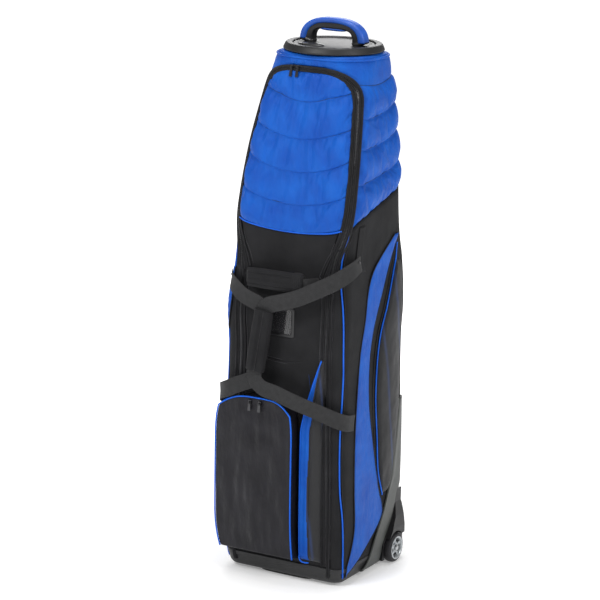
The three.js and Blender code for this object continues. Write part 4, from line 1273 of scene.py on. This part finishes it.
SIDE_COLS = 7
FACE_COLS = 40
FACE_ROWS = 72
wall_up = np.linspace(0, 1, SIDE_COLS + 1)[:-1]
ks = np.concatenate([np.zeros(SIDE_COLS), np.linspace(0, 1, FACE_COLS), np.ones(SIDE_COLS)])
k_rise = np.concatenate([wall_up, np.ones(FACE_COLS), wall_up[::-1]])
qs = np.concatenate([np.zeros(SIDE_COLS), np.linspace(0, 1, FACE_ROWS), np.ones(SIDE_COLS)])
q_rise = np.concatenate([wall_up, np.ones(FACE_ROWS), wall_up[::-1]])
K, Q = np.meshgrid(ks, qs)
rise = np.minimum(*np.meshgrid(k_rise, q_rise))
inset_k = 0.004 * rise
K2 = inset_k + K * (1 - 2 * inset_k)
Q2 = 0.012 * rise + Q * (1 - 0.024 * rise)
crown = 6 * 16 * K * (1 - K) * Q * (1 - Q)
flat_place = np.stack([K * 153, 0 * K, Q * 386 * 0.22], -1) * MM
loose = np.clip(9 * K * (1 - K) * Q * (1.02 - Q) * 4, 0, 1) * (rise == 1)
folds = loose * (6.5 * wobble(flat_place, 30, 21) + 3.0 * wobble(flat_place, 12, 22))
pocket_grid = front_pocket_point(K2, Q2, rise * (FRONT_POCKET["depth"] + crown) + folds)
pocket_shape = pocket_grid.shape[:2]
front_pocket = new_object(
    "front_pocket_cloth", pocket_grid.reshape(-1, 3), grid_faces(*pocket_shape), coated_nylon
)
cell = np.arange(pocket_shape[0] * pocket_shape[1]).reshape(pocket_shape)
c0, c1 = SIDE_COLS, SIDE_COLS + FACE_COLS - 1
r0, r1 = SIDE_COLS, SIDE_COLS + FACE_ROWS - 1
pocket_pins = [
    cell[0], cell[-1], cell[:, 0], cell[:, -1], cell[r0:r1, c0], cell[r0:r1, c1], cell[r0, c0:c1],
    cell[r1, c0:c1]
]
simulate(front_pocket, np.unique(np.concatenate(pocket_pins)), pressure=2.0, growth=0.06, cap_mm=9)
edge_left = pocket_grid[r0 : r1 + 1, c0]
edge_top = pocket_grid[r1, c0 : c1 + 1]
edge_right = pocket_grid[r0 : r1 + 1, c1][::-1]
front_rim = np.concatenate([edge_left, edge_top[1:-1], edge_right])
foot_left = pocket_grid[r0 : r1 + 1, 0]
clean(front_pocket)
thicken(front_pocket, 1.2)
finer(front_pocket)
give(front_pocket, "front_flap", "smooth_nylon", "front_pocket", pad=0.5)
left_foot = foot_left + np.array([-0.004, -0.010, 0])
rims = [tube("rim", line, 1.8, piping_cloth, facing=(1, -0.3, 0.2)) for line in (front_rim, left_foot)]
give(join("front_pocket_piping", rims), "front_flap", "blue_nylon")
print("front pocket", pocket_shape)

# %% [markdown]
# The slim pocket beside it has a pleated gusset: a black face, blue pleats that show on its left
# where it stands open, and blue piping that curls round its foot. It narrows to a point at the top.

# %% Slim pocket
SLIM = {"left": 57, "right": 110, "from": 58, "bend": 370, "top": 548, "depth": 15}


def slim_left(z):
    return SLIM["left"] + 48 * np.clip((z - SLIM["bend"]) / (SLIM["top"] - SLIM["bend"]), 0, 1) ** 1.35


def slim_point(k, q, d):
    z = SLIM["from"] + (SLIM["top"] - SLIM["from"]) * q
    taper = np.clip((z - SLIM["bend"]) / (SLIM["top"] - SLIM["bend"]), 0, 1)
    x = slim_left(z) + (SLIM["right"] - slim_left(z)) * k
    y = front_at(z) - 2 - d * (1 - 0.6 * taper)
    return np.stack([x * MM, y * MM + SHIFT, z * MM], -1)


slim_q = np.linspace(0, 1, 90)[:, None]
slim_profile = curve(
    [
        (0, 0), (0.03, 11), (0.08, 14), (0.22, 13.2), (0.36, 14.2), (0.43, 12), (0.48, 9),
        (0.54, 11.5), (0.7, 11), (0.92, 6), (1, 0)
    ]
)
slim_k = np.linspace(0, 1, 44)[None]
ends = np.clip(slim_q / 0.03, 0, 1) ** 0.5 * np.clip((1 - slim_q) / 0.02, 0, 1) ** 0.5
slim_grid = slim_point(slim_k + 0 * slim_q, slim_q + 0 * slim_k, slim_profile(slim_k) * ends)
slim = cloth_grid("slim_pocket_cloth", slim_grid, blue_twill, 1.4)
slim.data.materials.append(printed)
for polygon in slim.data.polygons:
    x, z = polygon.center.x / MM, polygon.center.z / MM
    edge = 22 * min(1, (SLIM["top"] + 4 - z) / 150) + 1.5 * math.sin(z / 45)
    if x > slim_left(z) + edge:
        polygon.material_index = 1
give(slim, "front_flap", "blue_nylon", "slim_pocket")
q = np.linspace(0.015, 0.995, 130)
slim_edges = [
    tube("edge", slim_point(np.full_like(q, 0.035), q, 12.5), 1.7, piping_cloth, facing=(1, -0.5, 0.1))
]
curl = [(58.5, -173, 70), (60.5, -174, 63), (66, -174.5, 58), (74, -174, 56.5), (84, -172, 57)]
slim_edges.append(tube("curl", placed(smooth_path(curl, 40)), 1.7, piping_cloth, facing=(0.2, -1, 0.1)))
give(join("slim_pocket_piping", slim_edges), "front_flap", "blue_nylon")
fine_line = tube(
    "fine_piping", skin_line([(440, 0.62), (500, 0.56), (561, 0.5)], 0.6, 40), 0.7, navy_cloth_and_seam_shade,
    facing=(1, 0, 0)
)
give(fine_line, "front_flap", "blue_nylon")

# %% [markdown]
# The flap carries a name window over the slim pocket's height: a plastic frame with a rounded
# outline, a clear pane and a blank card. A curved seam runs below it where two panels meet.

# %% Name window
low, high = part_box("window_frame")
w, h = (high.x - low.x), (high.z - low.z)
mid = (low + high) / 2


def ring_outline(width, height, power=12.0, n=72):
    shape = soft_box(width, height, power, n)
    return np.stack([mid.x + shape[:, 0], np.full(n, 0.0), mid.z + shape[:, 1]], -1)


outer, inner_ring = ring_outline(w, h), ring_outline(w - 0.016, h - 0.016)
levels_y = [
    (outer, low.y + 0.0016), (outer, low.y + 0.0003),
    ((outer * 0.85 + inner_ring * 0.15), low.y - 0.0004),
    ((outer * 0.15 + inner_ring * 0.85), low.y - 0.0004), (inner_ring, low.y + 0.0004),
    (inner_ring, low.y + 0.0016)
]
rings = np.array([np.stack([o[:, 0], np.full(len(o), y), o[:, 2]], -1) for o, y in levels_y])
window_rim = new_object(
    "window_rim", rings.reshape(-1, 3), grid_faces(*rings.shape[:2], closed=True), gloss_abs
)
clean(window_rim)
give(window_rim, "front_flap", "black_plastic", "window_frame")
CRESCENT = 528.0
seam_s = np.linspace(-0.62, 0.45, 60)
crescent = tube(
    "crescent_seam", skin(seam_s, CRESCENT + 10 * (seam_s / 0.62) ** 2, 0.9), 1.3, welt_cloth,
    facing=(0, -1, 0.1)
)
give(crescent, "front_flap", "black_nylon")
for node, material in (("window_pane", vinyl), ("name_card", card_stock)):
    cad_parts[node].data.materials.clear()
    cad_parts[node].data.materials.append(material)

# %% [markdown]
# The carry straps are one wide webbing on each side. They start on the sides, cross the flap,
# run together through a padded wrap, and go back round to the sides lower down. They can't
# follow the flap when it opens, where a person parts the wrap and lays them aside, so they flatten
# towards the sides.

# %% Carry straps
RIGHT_STRAP = [
    (164.5, -112, 770, 1.571), (163, -146, 759, 1.1), (142, -182, 738, 0.3), (98, -200, 713, 0),
    (56, -209, 692, 0),
    (14, -209, 677, 0), (-8, -207, 670, 0), (-24, -206, 662, 0), (-32, -206, 644, 0), (-42, -206, 580, 0),
    (-52.5, -206, 510, 0), (-52, -206.5, 492, 0), (-43, -208, 478, 0), (-24, -210, 468, 0),
    (8, -212, 463, 0),
    (54, -211, 450, 0), (104, -196, 432, 0), (150, -184, 416, 0.5), (166, -158, 404, 1.2),
    (166, -124, 398, 1.571),
]
LEFT_STRAP = [
    (-155, -144, 706, -0.9), (-141, -167, 699, -0.5), (-116, -186, 688, 0), (-90, -197, 677, 0),
    (-64, -200.5, 669, 0), (-43, -202, 661, 0), (-33, -202, 644, 0), (-42, -202, 580, 0),
    (-52.5, -202, 510, 0),
    (-56, -202, 494, 0), (-68, -202.5, 480, 0), (-94, -206, 468, 0), (-126, -207, 452, -0.2),
    (-156, -184, 436, -1),
    (-167, -146, 418, -1.571), (-167, -124, 410, -1.571),
]
WEBBING = {"width": 38, "thick": 2.2}


def strap(name, points, width_mm, thick_mm, count=150, curl=0.0):
    fine = smooth_path(points, count)
    facing = np.stack([np.sin(fine[:, 3]), -np.cos(fine[:, 3]), 0 * fine[:, 3]], -1)
    section = soft_box(width_mm * MM, thick_mm * MM, 6.0, 40)
    section[:, 1] += curl * MM * ((section[:, 0] / (width_mm * MM / 2)) ** 2 - 0.5)
    return sweep(name, placed(fine), facing, section, strap_webbing)


for side, route, sign in (("right", RIGHT_STRAP, 1), ("left", LEFT_STRAP, -1)):
    piece = strap("carry_webbing_" + side, route, WEBBING["width"], WEBBING["thick"], curl=1.2)
    give(piece, "case_shell", "black_webbing", "carry_strap_" + side)
    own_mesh(piece)


def padded_sleeve(name, start, end, width_mm, thick_mm, facing, ridges=2, lip=0.0):
    """A padded wrap round webbing, with stitched ridges along it and bound ends."""
    a, b = (placed([p])[0] for p in (start, end))
    t = np.linspace(0, 1, 50)
    path = a + (b - a) * t[:, None]
    n = 72
    turn = np.linspace(0, 2 * math.pi, n, endpoint=False)
    c, s = np.cos(turn), np.sin(turn)
    grooved = 1 - 0.22 * (0.5 + 0.5 * np.cos(ridges * 2 * math.pi * c)) ** 6
    section = np.stack(
        [
            np.sign(c) * np.abs(c) ** 0.8 * width_mm / 2,
            np.sign(s) * np.abs(s) ** 0.62 * thick_mm / 2 * grooved
        ],
        -1
    ) * MM
    swell = 1 + 0.05 * np.sin(t * math.pi) - lip * ((t < 0.05) | (t > 0.95))
    scale = np.stack([swell, swell + 0.03 * np.sin(9 * t * math.pi)], -1)
    return sweep(name, path, facing, section, black_cloth, scale=scale)


wrap = padded_sleeve("handle_wrap_pad", (-31.5, -204, 652), (-53, -204, 508), 46, 25, (0, -1, 0), ridges=1)
wrap_edge = [
    tube(
        "edge", placed(smooth_path([(x0, -216.2, z0), (x1, -216.8, z1)], 30)), 1.3, welt_cloth,
        facing=(1, 0, 0)
    ) for x0,
    z0, x1, z1 in ((-26, 651, -47.5, 510),)
]
give(wrap, "case_shell", "black_webbing", "handle_wrap", pad=0.6)
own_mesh(wrap)
lip = give(join("handle_wrap_edge", wrap_edge), "case_shell", "black_webbing")
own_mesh(lip)

# %% [markdown]
# The grab handle lies across the flap above the straps: a padded sleeve with two sewn grooves, a
# cuff at its right end, and a webbing loop at each end that is sewn to the flap.

# %% Grab handle
GRAB = {"z": 722, "y": -193, "left": -80, "right": 62}
grip = padded_sleeve(
    "grab_handle_pad", (GRAB["left"], GRAB["y"], GRAB["z"]), (GRAB["right"], GRAB["y"], GRAB["z"]),
    44, 19, (0, -1, 0), ridges=2
)
give(grip, "front_flap", "black_webbing", "grab_handle", pad=0.7)
cuff = padded_sleeve(
    "grab_handle_cuff", (38, GRAB["y"], GRAB["z"]), (60, GRAB["y"], GRAB["z"]), 48, 22, (0, -1, 0),
    ridges=1
)
give(cuff, "front_flap", "black_webbing")
front_722 = float(front_at(722))
loop_route = [
    (-100, front_722 - 3, GRAB["z"], 0), (-96, front_722 - 8, GRAB["z"], 0), (-84, GRAB["y"], GRAB["z"], 0),
    (-60, GRAB["y"], GRAB["z"], 0), (46, GRAB["y"], GRAB["z"], 0), (66, GRAB["y"], GRAB["z"], 0),
    (80, front_722 - 8, GRAB["z"], 0), (87, front_722 - 3, GRAB["z"], 0),
]
loop = strap("grab_handle_loop", loop_route, 26, 2.0, 90)
give(loop, "front_flap", "black_webbing", "grab_webbing")

# %% [markdown]
# On each side, at or above the strap's upper end, there is a sewn patch of cloth and a small rivet.
# Stitches are short rounded blocks at every pitch, in rows beside the zip and along the seam.

# %% Patches, rivets and stitches
RIVET_AT = {"right": (0.1658, -0.121, 0.774), "left": (0.1570, -0.139, 0.707)}


def stitch_row(points, facing, pitch_mm=5.0, long_mm=3.2, wide_mm=0.9):
    """Stitches along a line, as centres and axes joined into one mesh."""
    path = np.asarray(points, float)
    length = np.concatenate([[0], np.cumsum(np.linalg.norm(np.diff(path, axis=0), axis=1))])
    at = np.arange(pitch_mm * MM / 2, length[-1], pitch_mm * MM)
    centres = np.stack([np.interp(at, length, path[:, k]) for k in range(3)], -1)
    if len(centres) < 2:
        return np.zeros((0, 8, 3))
    along, across, up = frames(centres, facing)
    size = np.array([long_mm / 2, wide_mm / 2, 0.35]) * MM
    corners = np.array([(i, j, k * 0.9) for i in (-1, 1) for j in (-1, 1) for k in (-1, 1)]) * size
    return centres[:, None] + np.einsum("cd,ndk->nck", corners, np.stack([along, across, up], 1))


BOX = [(0, 1, 3, 2), (4, 6, 7, 5), (0, 4, 5, 1), (2, 3, 7, 6), (0, 2, 6, 4), (1, 5, 7, 3)]


def stitching(name, rows, body, material=None):
    points = np.concatenate(rows)
    faces = [tuple(8 * n + i for i in face) for n in range(len(points)) for face in BOX]
    obj = new_object(name, points.reshape(-1, 3), faces, material or thread, smooth=False)
    give(obj, body, "black_webbing")
    print(name, len(points), "stitches")


thread = moulded("dark_grey_polyester_thread", "#3c3c40", "#4a4a4e", 0.6, 0.8, 0.05)
for side, sign in (("right", 1), ("left", -1)):
    centre = 796
    s_mid = 2.09
    z = np.linspace(centre - 54, centre + 54, 30)[:, None]
    flare = 1 + 1.2 * np.clip((770 - z) / 28, 0, 1)
    s = s_mid + np.linspace(-0.07, 0.07, 18)[None] * flare
    patch_grid = skin(sign * (s + 0 * z), z + 0 * s, 1.6 + 0 * z)
    patch = cloth_grid("sewn_patch_" + side, patch_grid, black_cloth, 1.2)
    give(patch, "case_shell", "black_webbing", "strap_patch_" + side)
    rivet_profile = rounded([(0, 0), (3.6, 0), (3.6, 1.0), (2.2, 2.2), (0, 2.2), (0, 0)], 0.5)
    rivet = lathe("strap_rivet_" + side, rivet_profile, (0, 0, 0), pull_metal, 24, "X")
    out, forward, height = RIVET_AT[side]
    for v in rivet.data.vertices:
        v.co = Vector((sign * (v.co.x + out), v.co.y + forward + SHIFT, v.co.z + height))
    if sign < 0:
        rivet.data.flip_normals()
    give(rivet, "case_shell", "steel")

shell_rows, flap_rows_stitched = [], []
z = np.linspace(70, 820, 300)
for sign in (1, -1):
    line = skin(sign * opening(z, -TAPE["far"] - 5), z, 0.6)
    shell_rows.append(stitch_row(line, (0, -1, 0.01)))
z = np.linspace(62, 820, 300)
for sign in (1, -1):
    line = skin(sign * opening(z, TAPE["far"] + 4), z, 0.6)
    flap_rows_stitched.append(stitch_row(line, (0, -1, 0.01)))
for offset in (-4, 4):
    flap_rows_stitched.append(
        stitch_row(skin(seam_s, CRESCENT + 10 * (seam_s / 0.62) ** 2 + offset, 0.5), (0, -1, 0.01))
    )
stitching("body_stitching", shell_rows, "case_shell")
stitching("flap_stitching", flap_rows_stitched, "front_flap")


# %% [markdown]
# Turned parts come from a profile carried round an axis: the crown, the turntable, the tyres and
# the axle ends. The crown is a wide ring with a sloping wall; the turntable inside it carries the
# handle, so they are separate pieces with a fine gap between them.

# %% Crown
crown_z0, crown_z1 = crown_low.z / MM, crown_high.z / MM
crown_centre = (0, CROWN_Y * MM + SHIFT, 0)
crown_profile = rounded(
    [(9, crown_z0), (114, crown_z0), (117, crown_z0 + 1.5), (117, crown_z0 + 4),
     (112.5, crown_z1 - 3), (109.5, crown_z1),
     (98, crown_z1), (95.2, crown_z1 - 2), (95.2, crown_z1 - 9), (9, crown_z1 - 9), (9, crown_z0)]
)
crown = lathe("crown_moulding", crown_profile, crown_centre, black_abs, 180)
give(crown, "case_shell", "black_plastic", "crown_ring")
table_top = crown_z1 - 3
table_profile = rounded(
    [(0, table_top - 14), (8.3, table_top - 14), (8.3, table_top - 5.7),
     (94.3, table_top - 5.7), (94.3, table_top - 1.2), (92.6, table_top),
     (86, table_top), (85, table_top - 1), (82, table_top - 1), (81, table_top), (0, table_top)], 0.8
)
table = lathe("turntable_moulding", table_profile, crown_centre, black_abs, 180)
give(table, "top_handle", "black_plastic", "handle_turntable")

# %% [markdown]
# The handle is a stiff black core with a soft blue rubber moulded over its outside, thicker in the
# middle where the hand closes on it. Both follow the same arch, so one sweep makes each.

# %% Handle
def arch(half, rise, power, start=0.0, n=90):
    """Points (x, z) in mm of a superellipse arch that stands on the turntable."""
    a0 = math.asin(min(1, (start / rise) ** (power / 2)))
    a = np.linspace(a0, math.pi - a0, n)
    c = np.cos(a)
    return np.stack(
        [np.sign(c) * half * np.abs(c) ** (2 / power), FOOT + rise * np.sin(a) ** (2 / power)], -1
    )


def between_arches(name, inner_arch, outer_arch, deep_mm, power, material):
    """A solid that fills the space between two arches, with a rounded section."""
    section = soft_box(1.0, 1.0, power, 40)
    spread_out = (outer_arch - inner_arch)[:, None] * (section[None, :, :1] + 0.5) + inner_arch[:, None]
    depth = np.broadcast_to(section[None, :, 1] * deep_mm, spread_out.shape[:2])
    points = np.stack([spread_out[..., 0] * MM, depth * MM + crown_centre[1], spread_out[..., 1] * MM], -1)
    n, m = depth.shape
    faces = grid_faces(n, m, closed=True) + [tuple(range(m)), tuple(range((n - 1) * m, n * m))]
    obj = new_object(name, points.reshape(-1, 3), faces, material)
    clean(obj)
    return obj


FOOT = table_top + 0.3
RISE = 1300 - FOOT
core = between_arches(
    "handle_core_moulding", arch(51, RISE - 27, 4.2), arch(72, RISE - 9, 2.7), 25, 5.0, gloss_abs
)
HANDLE_FOOT = ((70, 0), (68.5, 4), (67, 10))
foot_section = soft_box(36 * MM, 27 * MM, 5.0, 36)
feet = []
for sign in (1, -1):
    foot_path = [(sign * x * MM, crown_centre[1], (FOOT + z) * MM) for x, z in HANDLE_FOOT]
    feet.append(sweep("foot", foot_path, (0, 1, 0), foot_section, gloss_abs))
core = join("handle_core_moulding", [core] + feet)
give(core, "top_handle", "black_plastic", "handle_core")
rubber = between_arches(
    "handle_rubber_grip", arch(66, RISE - 14, 2.7, 7.0), arch(86.2, RISE, 2.5, 7.0), 31, 3.0,
    blue_grip
)
lobe_x = np.linspace(-34, 34, 50)
lobe_path = np.stack(
    [lobe_x * MM, np.full(50, crown_centre[1]), np.full(50, (FOOT + RISE - 27.5) * MM)], -1
)
lobe_size = np.clip(1 - (lobe_x / 35) ** 4, 0.02, 1) ** 0.5
lobe = sweep(
    "lobe", lobe_path, (0, 1, 0), soft_box(9 * MM, 23 * MM, 2.6, 32), blue_grip,
    scale=np.stack([lobe_size, lobe_size * 0.4 + 0.6], -1)
)
give(join("handle_rubber_grip", [rubber, lobe]), "top_handle", "blue_rubber", "handle_grip")
badge_low, badge_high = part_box("crown_badge")
badge_mid = (badge_low + badge_high) / 2
badge_half = (badge_high - badge_low) / 2
dome = [(k, math.sqrt(max(0, 1 - k**3))) for k in np.linspace(1, 0, 14)]
dome_turn = np.linspace(0, 2 * math.pi, 64, endpoint=False)
dome_rings = []
for k, h in dome:
    dome_x = badge_mid.x + k * badge_half.x * np.cos(dome_turn)
    dome_y = badge_mid.y + k * badge_half.y * np.sin(dome_turn)
    dome_z = np.full(64, badge_low.z + h * 2 * badge_half.z)
    dome_rings.append(np.stack([dome_x, dome_y, dome_z], -1))
dome_grid = np.array(dome_rings)
badge = new_object("crown_badge_dome", dome_grid.reshape(-1, 3), grid_faces(14, 64, closed=True), gloss_abs)
clean(badge)
give(badge, "top_handle", "black_plastic", "crown_badge")

# %% [markdown]
# The base is one black moulding: a shallow tray with rounded corners and a raised lip that the
# cloth is sewn to. Under its front is a bar-shaped foot. Both follow the frame's own sizes.

# %% Base and foot
def ring_of(z, out, n=200):
    s = np.linspace(-5, 5, n, endpoint=False)
    at = skin(s, max(z, 0), out)
    at[:, 2] = z * MM
    return at


tray_low, tray_high = (v.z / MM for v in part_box("base_tray"))
tray_steps = [
    (tray_low, -60), (tray_low - 2, -8), (tray_low - 1, -4), (tray_low + 3, -0.8),
    (tray_low + 9, 0.4), (tray_high - 12, 0.2), (tray_high - 11, 1.6), (tray_high - 2, 1.6),
    (tray_high, 0.6), (tray_high, -3.5), (tray_low + 6, -5), (tray_low + 5, -12),
    (tray_low + 5, -60)
]
tray_rings = np.array([ring_of(z, out) for z, out in tray_steps])
tray = new_object(
    "base_moulding", tray_rings.reshape(-1, 3),
    grid_faces(*tray_rings.shape[:2], closed=True) + [tuple(range(200)), tuple(range(12 * 200, 13 * 200))],
    black_abs
)
clean(tray)
give(tray, "case_shell", "black_plastic", "base_tray")
foot_low, foot_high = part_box("front_foot")
foot_mid = (foot_low + foot_high) / 2
foot_shape = soft_box(foot_high.x - foot_low.x, foot_high.y - foot_low.y, 4.0, 80)
foot_rings = np.array([
    np.stack([foot_mid.x + foot_shape[:, 0] * k, foot_mid.y + foot_shape[:, 1] * k, np.full(80, z)], -1)
    for z, k in ((0.0, 0.9), (0.0006, 0.94), (0.004, 1.0), (foot_high.z, 1.0))
])
foot = new_object(
    "front_foot_moulding", foot_rings.reshape(-1, 3),
    grid_faces(4, 80, closed=True) + [tuple(range(80)), tuple(range(240, 320))], black_abs
)
clean(foot)
give(foot, "case_shell", "black_plastic", "front_foot")

# %% [markdown]
# The grey rail wraps the lower back corner and sweeps forward under the side: a semi-gloss
# moulding with a raised bead along its front edge. It is built like the cloth, as a grid on the
# skin, but thicker and smooth.

# %% Corner rails
rail_back = curve([(14, 43), (26, 45), (55, 48), (84, 68), (116, 88), (176, 107)])


def corner_rail():
    z = np.concatenate([np.linspace(12, 176, 50), np.linspace(180, 402, 50)])[:, None]
    low = side_station(rail_back(z), z)
    s1 = low + (3.5 - low) * np.clip((z - 176) / 40, 0, 1)
    share = np.linspace(0, 1, 26)[None]
    s = side_station(rail_front(z), z) * (1 - share) + s1 * share
    bead = 1.6 * np.exp(-(((share - 0.06) / 0.05) ** 2))
    out = 4.6 + bead - 2.5 * np.clip(0.04 - share, 0, 1) / 0.04 + 0 * z
    obj = cloth_grid("corner_rail_moulding_right", skin(s, z + 0 * s, out), grey_rail)
    thicken(obj, 4.6)
    return obj


rail_right = corner_rail()
rail_left = mirrored(rail_right, "corner_rail_moulding_left")
give(rail_right, "case_shell", "grey_plastic", "corner_rail_right")
give(rail_left, "case_shell", "grey_plastic", "corner_rail_left")


# %% [markdown]
# A wheel housing is a black block with a round recess for the wheel and a fender that flares out
# over it. The frame's own solid has the right shape, so it stays and gets a bevel and a finish.
# The wheels are rebuilt: a tyre with a round tread, and a hub with five dished spokes.

# %% Wheels and housings
def paint(node, material, bevel_mm=0.0):
    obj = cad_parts[node]
    obj.data.materials.clear()
    obj.data.materials.append(material)
    if bevel_mm:
        edge = obj.modifiers.new("worn_edge", "BEVEL")
        edge.width = bevel_mm * MM
        edge.segments = 3
        edge.limit_method = "ANGLE"
        edge.angle_limit = math.radians(28)


def spoked_hub(name, centre, sign):
    """Rim, five spokes and a cap, joined from swept and turned solids."""
    outline = [
        (24.6, -10), (24.6, 10), (28, 11.4), (28, 12.4), (25, 12.6), (23, 10.5), (22, 6), (22, -10),
        (24.6, -10)
    ]
    rim = lathe("rim", rounded(outline, 0.8), (0, 0, 0), silver_hub, 96, "X")
    cap = lathe(
        "cap",
        rounded([(11.3, -10), (11.3, 8.5), (10.5, 9.2), (9.2, 9.4), (8, 9.4), (8, -10), (11.3, -10)], 0.6),
        (0, 0, 0), silver_hub, 64, "X"
    )
    parts = [rim, cap]
    for i in range(5):
        a = 2 * math.pi * i / 5 + 0.3
        r = np.linspace(10.5, 23.5, 14)
        path = np.stack(
            [(7.2 - 2.2 * np.sin((r - 10.5) / 13 * math.pi)) * MM, r * np.cos(a) * MM, r * np.sin(a) * MM],
            -1
        )
        wide = 1.25 - 0.45 * np.sin((r - 10.5) / 13 * math.pi)
        parts.append(
            sweep(
                "spoke", path, (1, 0, 0), soft_box(8.5 * MM, 5 * MM, 3.0, 20), silver_hub,
                scale=np.stack([wide, wide * 0 + 1], -1)
            )
        )
    hub = join(name, parts)
    for v in hub.data.vertices:
        v.co = Vector((sign * v.co.x, v.co.y, v.co.z)) + Vector(centre)
    if sign < 0:
        hub.data.flip_normals()
    return hub


for side, sign in (("right", 1), ("left", -1)):
    low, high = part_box("tyre_" + side)
    centre = (low + high) / 2
    half, r = (high.x - low.x) / 2 / MM, (high.z - low.z) / 2 / MM
    arc_turn = np.radians(np.linspace(-86, 86, 25))
    tread = [(r - 7 + 7 * max(math.cos(a), 0) ** 0.75, half * math.sin(a)) for a in arc_turn]
    tyre = lathe(
        "tyre_moulding_" + side, [(25, -half + 1)] + tread + [(25, half - 1), (25, -half + 1)],
        centre, tyre_rubber, 120, "X"
    )
    give(tyre, "wheel_" + side, "wheel_rubber", "tyre_" + side)
    hub = spoked_hub("hub_moulding_" + side, centre, sign)
    give(hub, "wheel_" + side, "silver_plastic", "wheel_hub_" + side)
    paint("wheel_housing_" + side, black_abs, 1.2)
    paint("wheel_bearing_" + side, turned_steel, 0.3)
    paint("wheel_axle_" + side, turned_steel, 0.4)

# %% [markdown]
# What is left of the frame's own pieces is small or inside the case: the zip sliders and their
# pulls, the pivot washer and the stiff board down the back. The two tie straps inside are rebuilt
# as webbing.

# %% Remaining pieces
for end in ("main_left", "main_right", "pocket_left", "pocket_right"):
    paint(end + "_slider", pull_metal, 0.4)
    paint(end + "_pull", pull_metal, 0.3)
paint("pivot_washer", turned_steel, 0.3)
paint("back_board", moulded("grey_polyethylene_board", "#5a5c5e", "#66686a", 0.55, 2.0, 0.05), 0.5)
for node in ("tie_strap_lower", "tie_strap_upper"):
    low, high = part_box(node)
    size, mid = high - low, (high + low) / 2
    line = [(x, mid.y, mid.z) for x in np.linspace(low.x, high.x, 40)]
    strip = sweep(node + "_webbing", line, (0, 1, 0), soft_box(size.z, size.y, 6.0, 32), strap_webbing)
    give(strip, "case_shell", "black_webbing", node)

# %% [markdown]
# The floor is one wide white sheet that glows a little, as a lit studio sweep does, so that it
# stays white far behind the case. It glows less close to the case, where the shadow falls. It isn't
# part of the case.

# %% Floor
floor_material, floor_tree, floor_shader = new_material("white_studio_floor", roughness=0.9)
floor_shader.inputs["Base Color"].default_value = linear("#f6f6f6")
floor_shader.inputs["Emission Color"].default_value = (1, 1, 1, 1)
around = add_node(floor_tree, "ShaderNodeTexCoord").outputs["Object"]
around = add_node(
    floor_tree, "ShaderNodeMapping", {"Vector": around, "Scale": (0.55, 0.55, 0.55)}
).outputs[0]
near = add_node(
    floor_tree, "ShaderNodeTexGradient", {"Vector": around}, gradient_type="SPHERICAL"
).outputs["Fac"]
glow = add_node(floor_tree, "ShaderNodeMapRange", {"Value": near, "To Min": 0.85, "To Max": 0.18})
floor_tree.links.new(glow.outputs["Result"], floor_shader.inputs["Emission Strength"])
floor = new_object(
    "studio_floor", [(-14, -14, 0), (14, -14, 0), (14, 14, 0), (-14, 14, 0)], [(0, 1, 2, 3)],
    floor_material, smooth=False
)
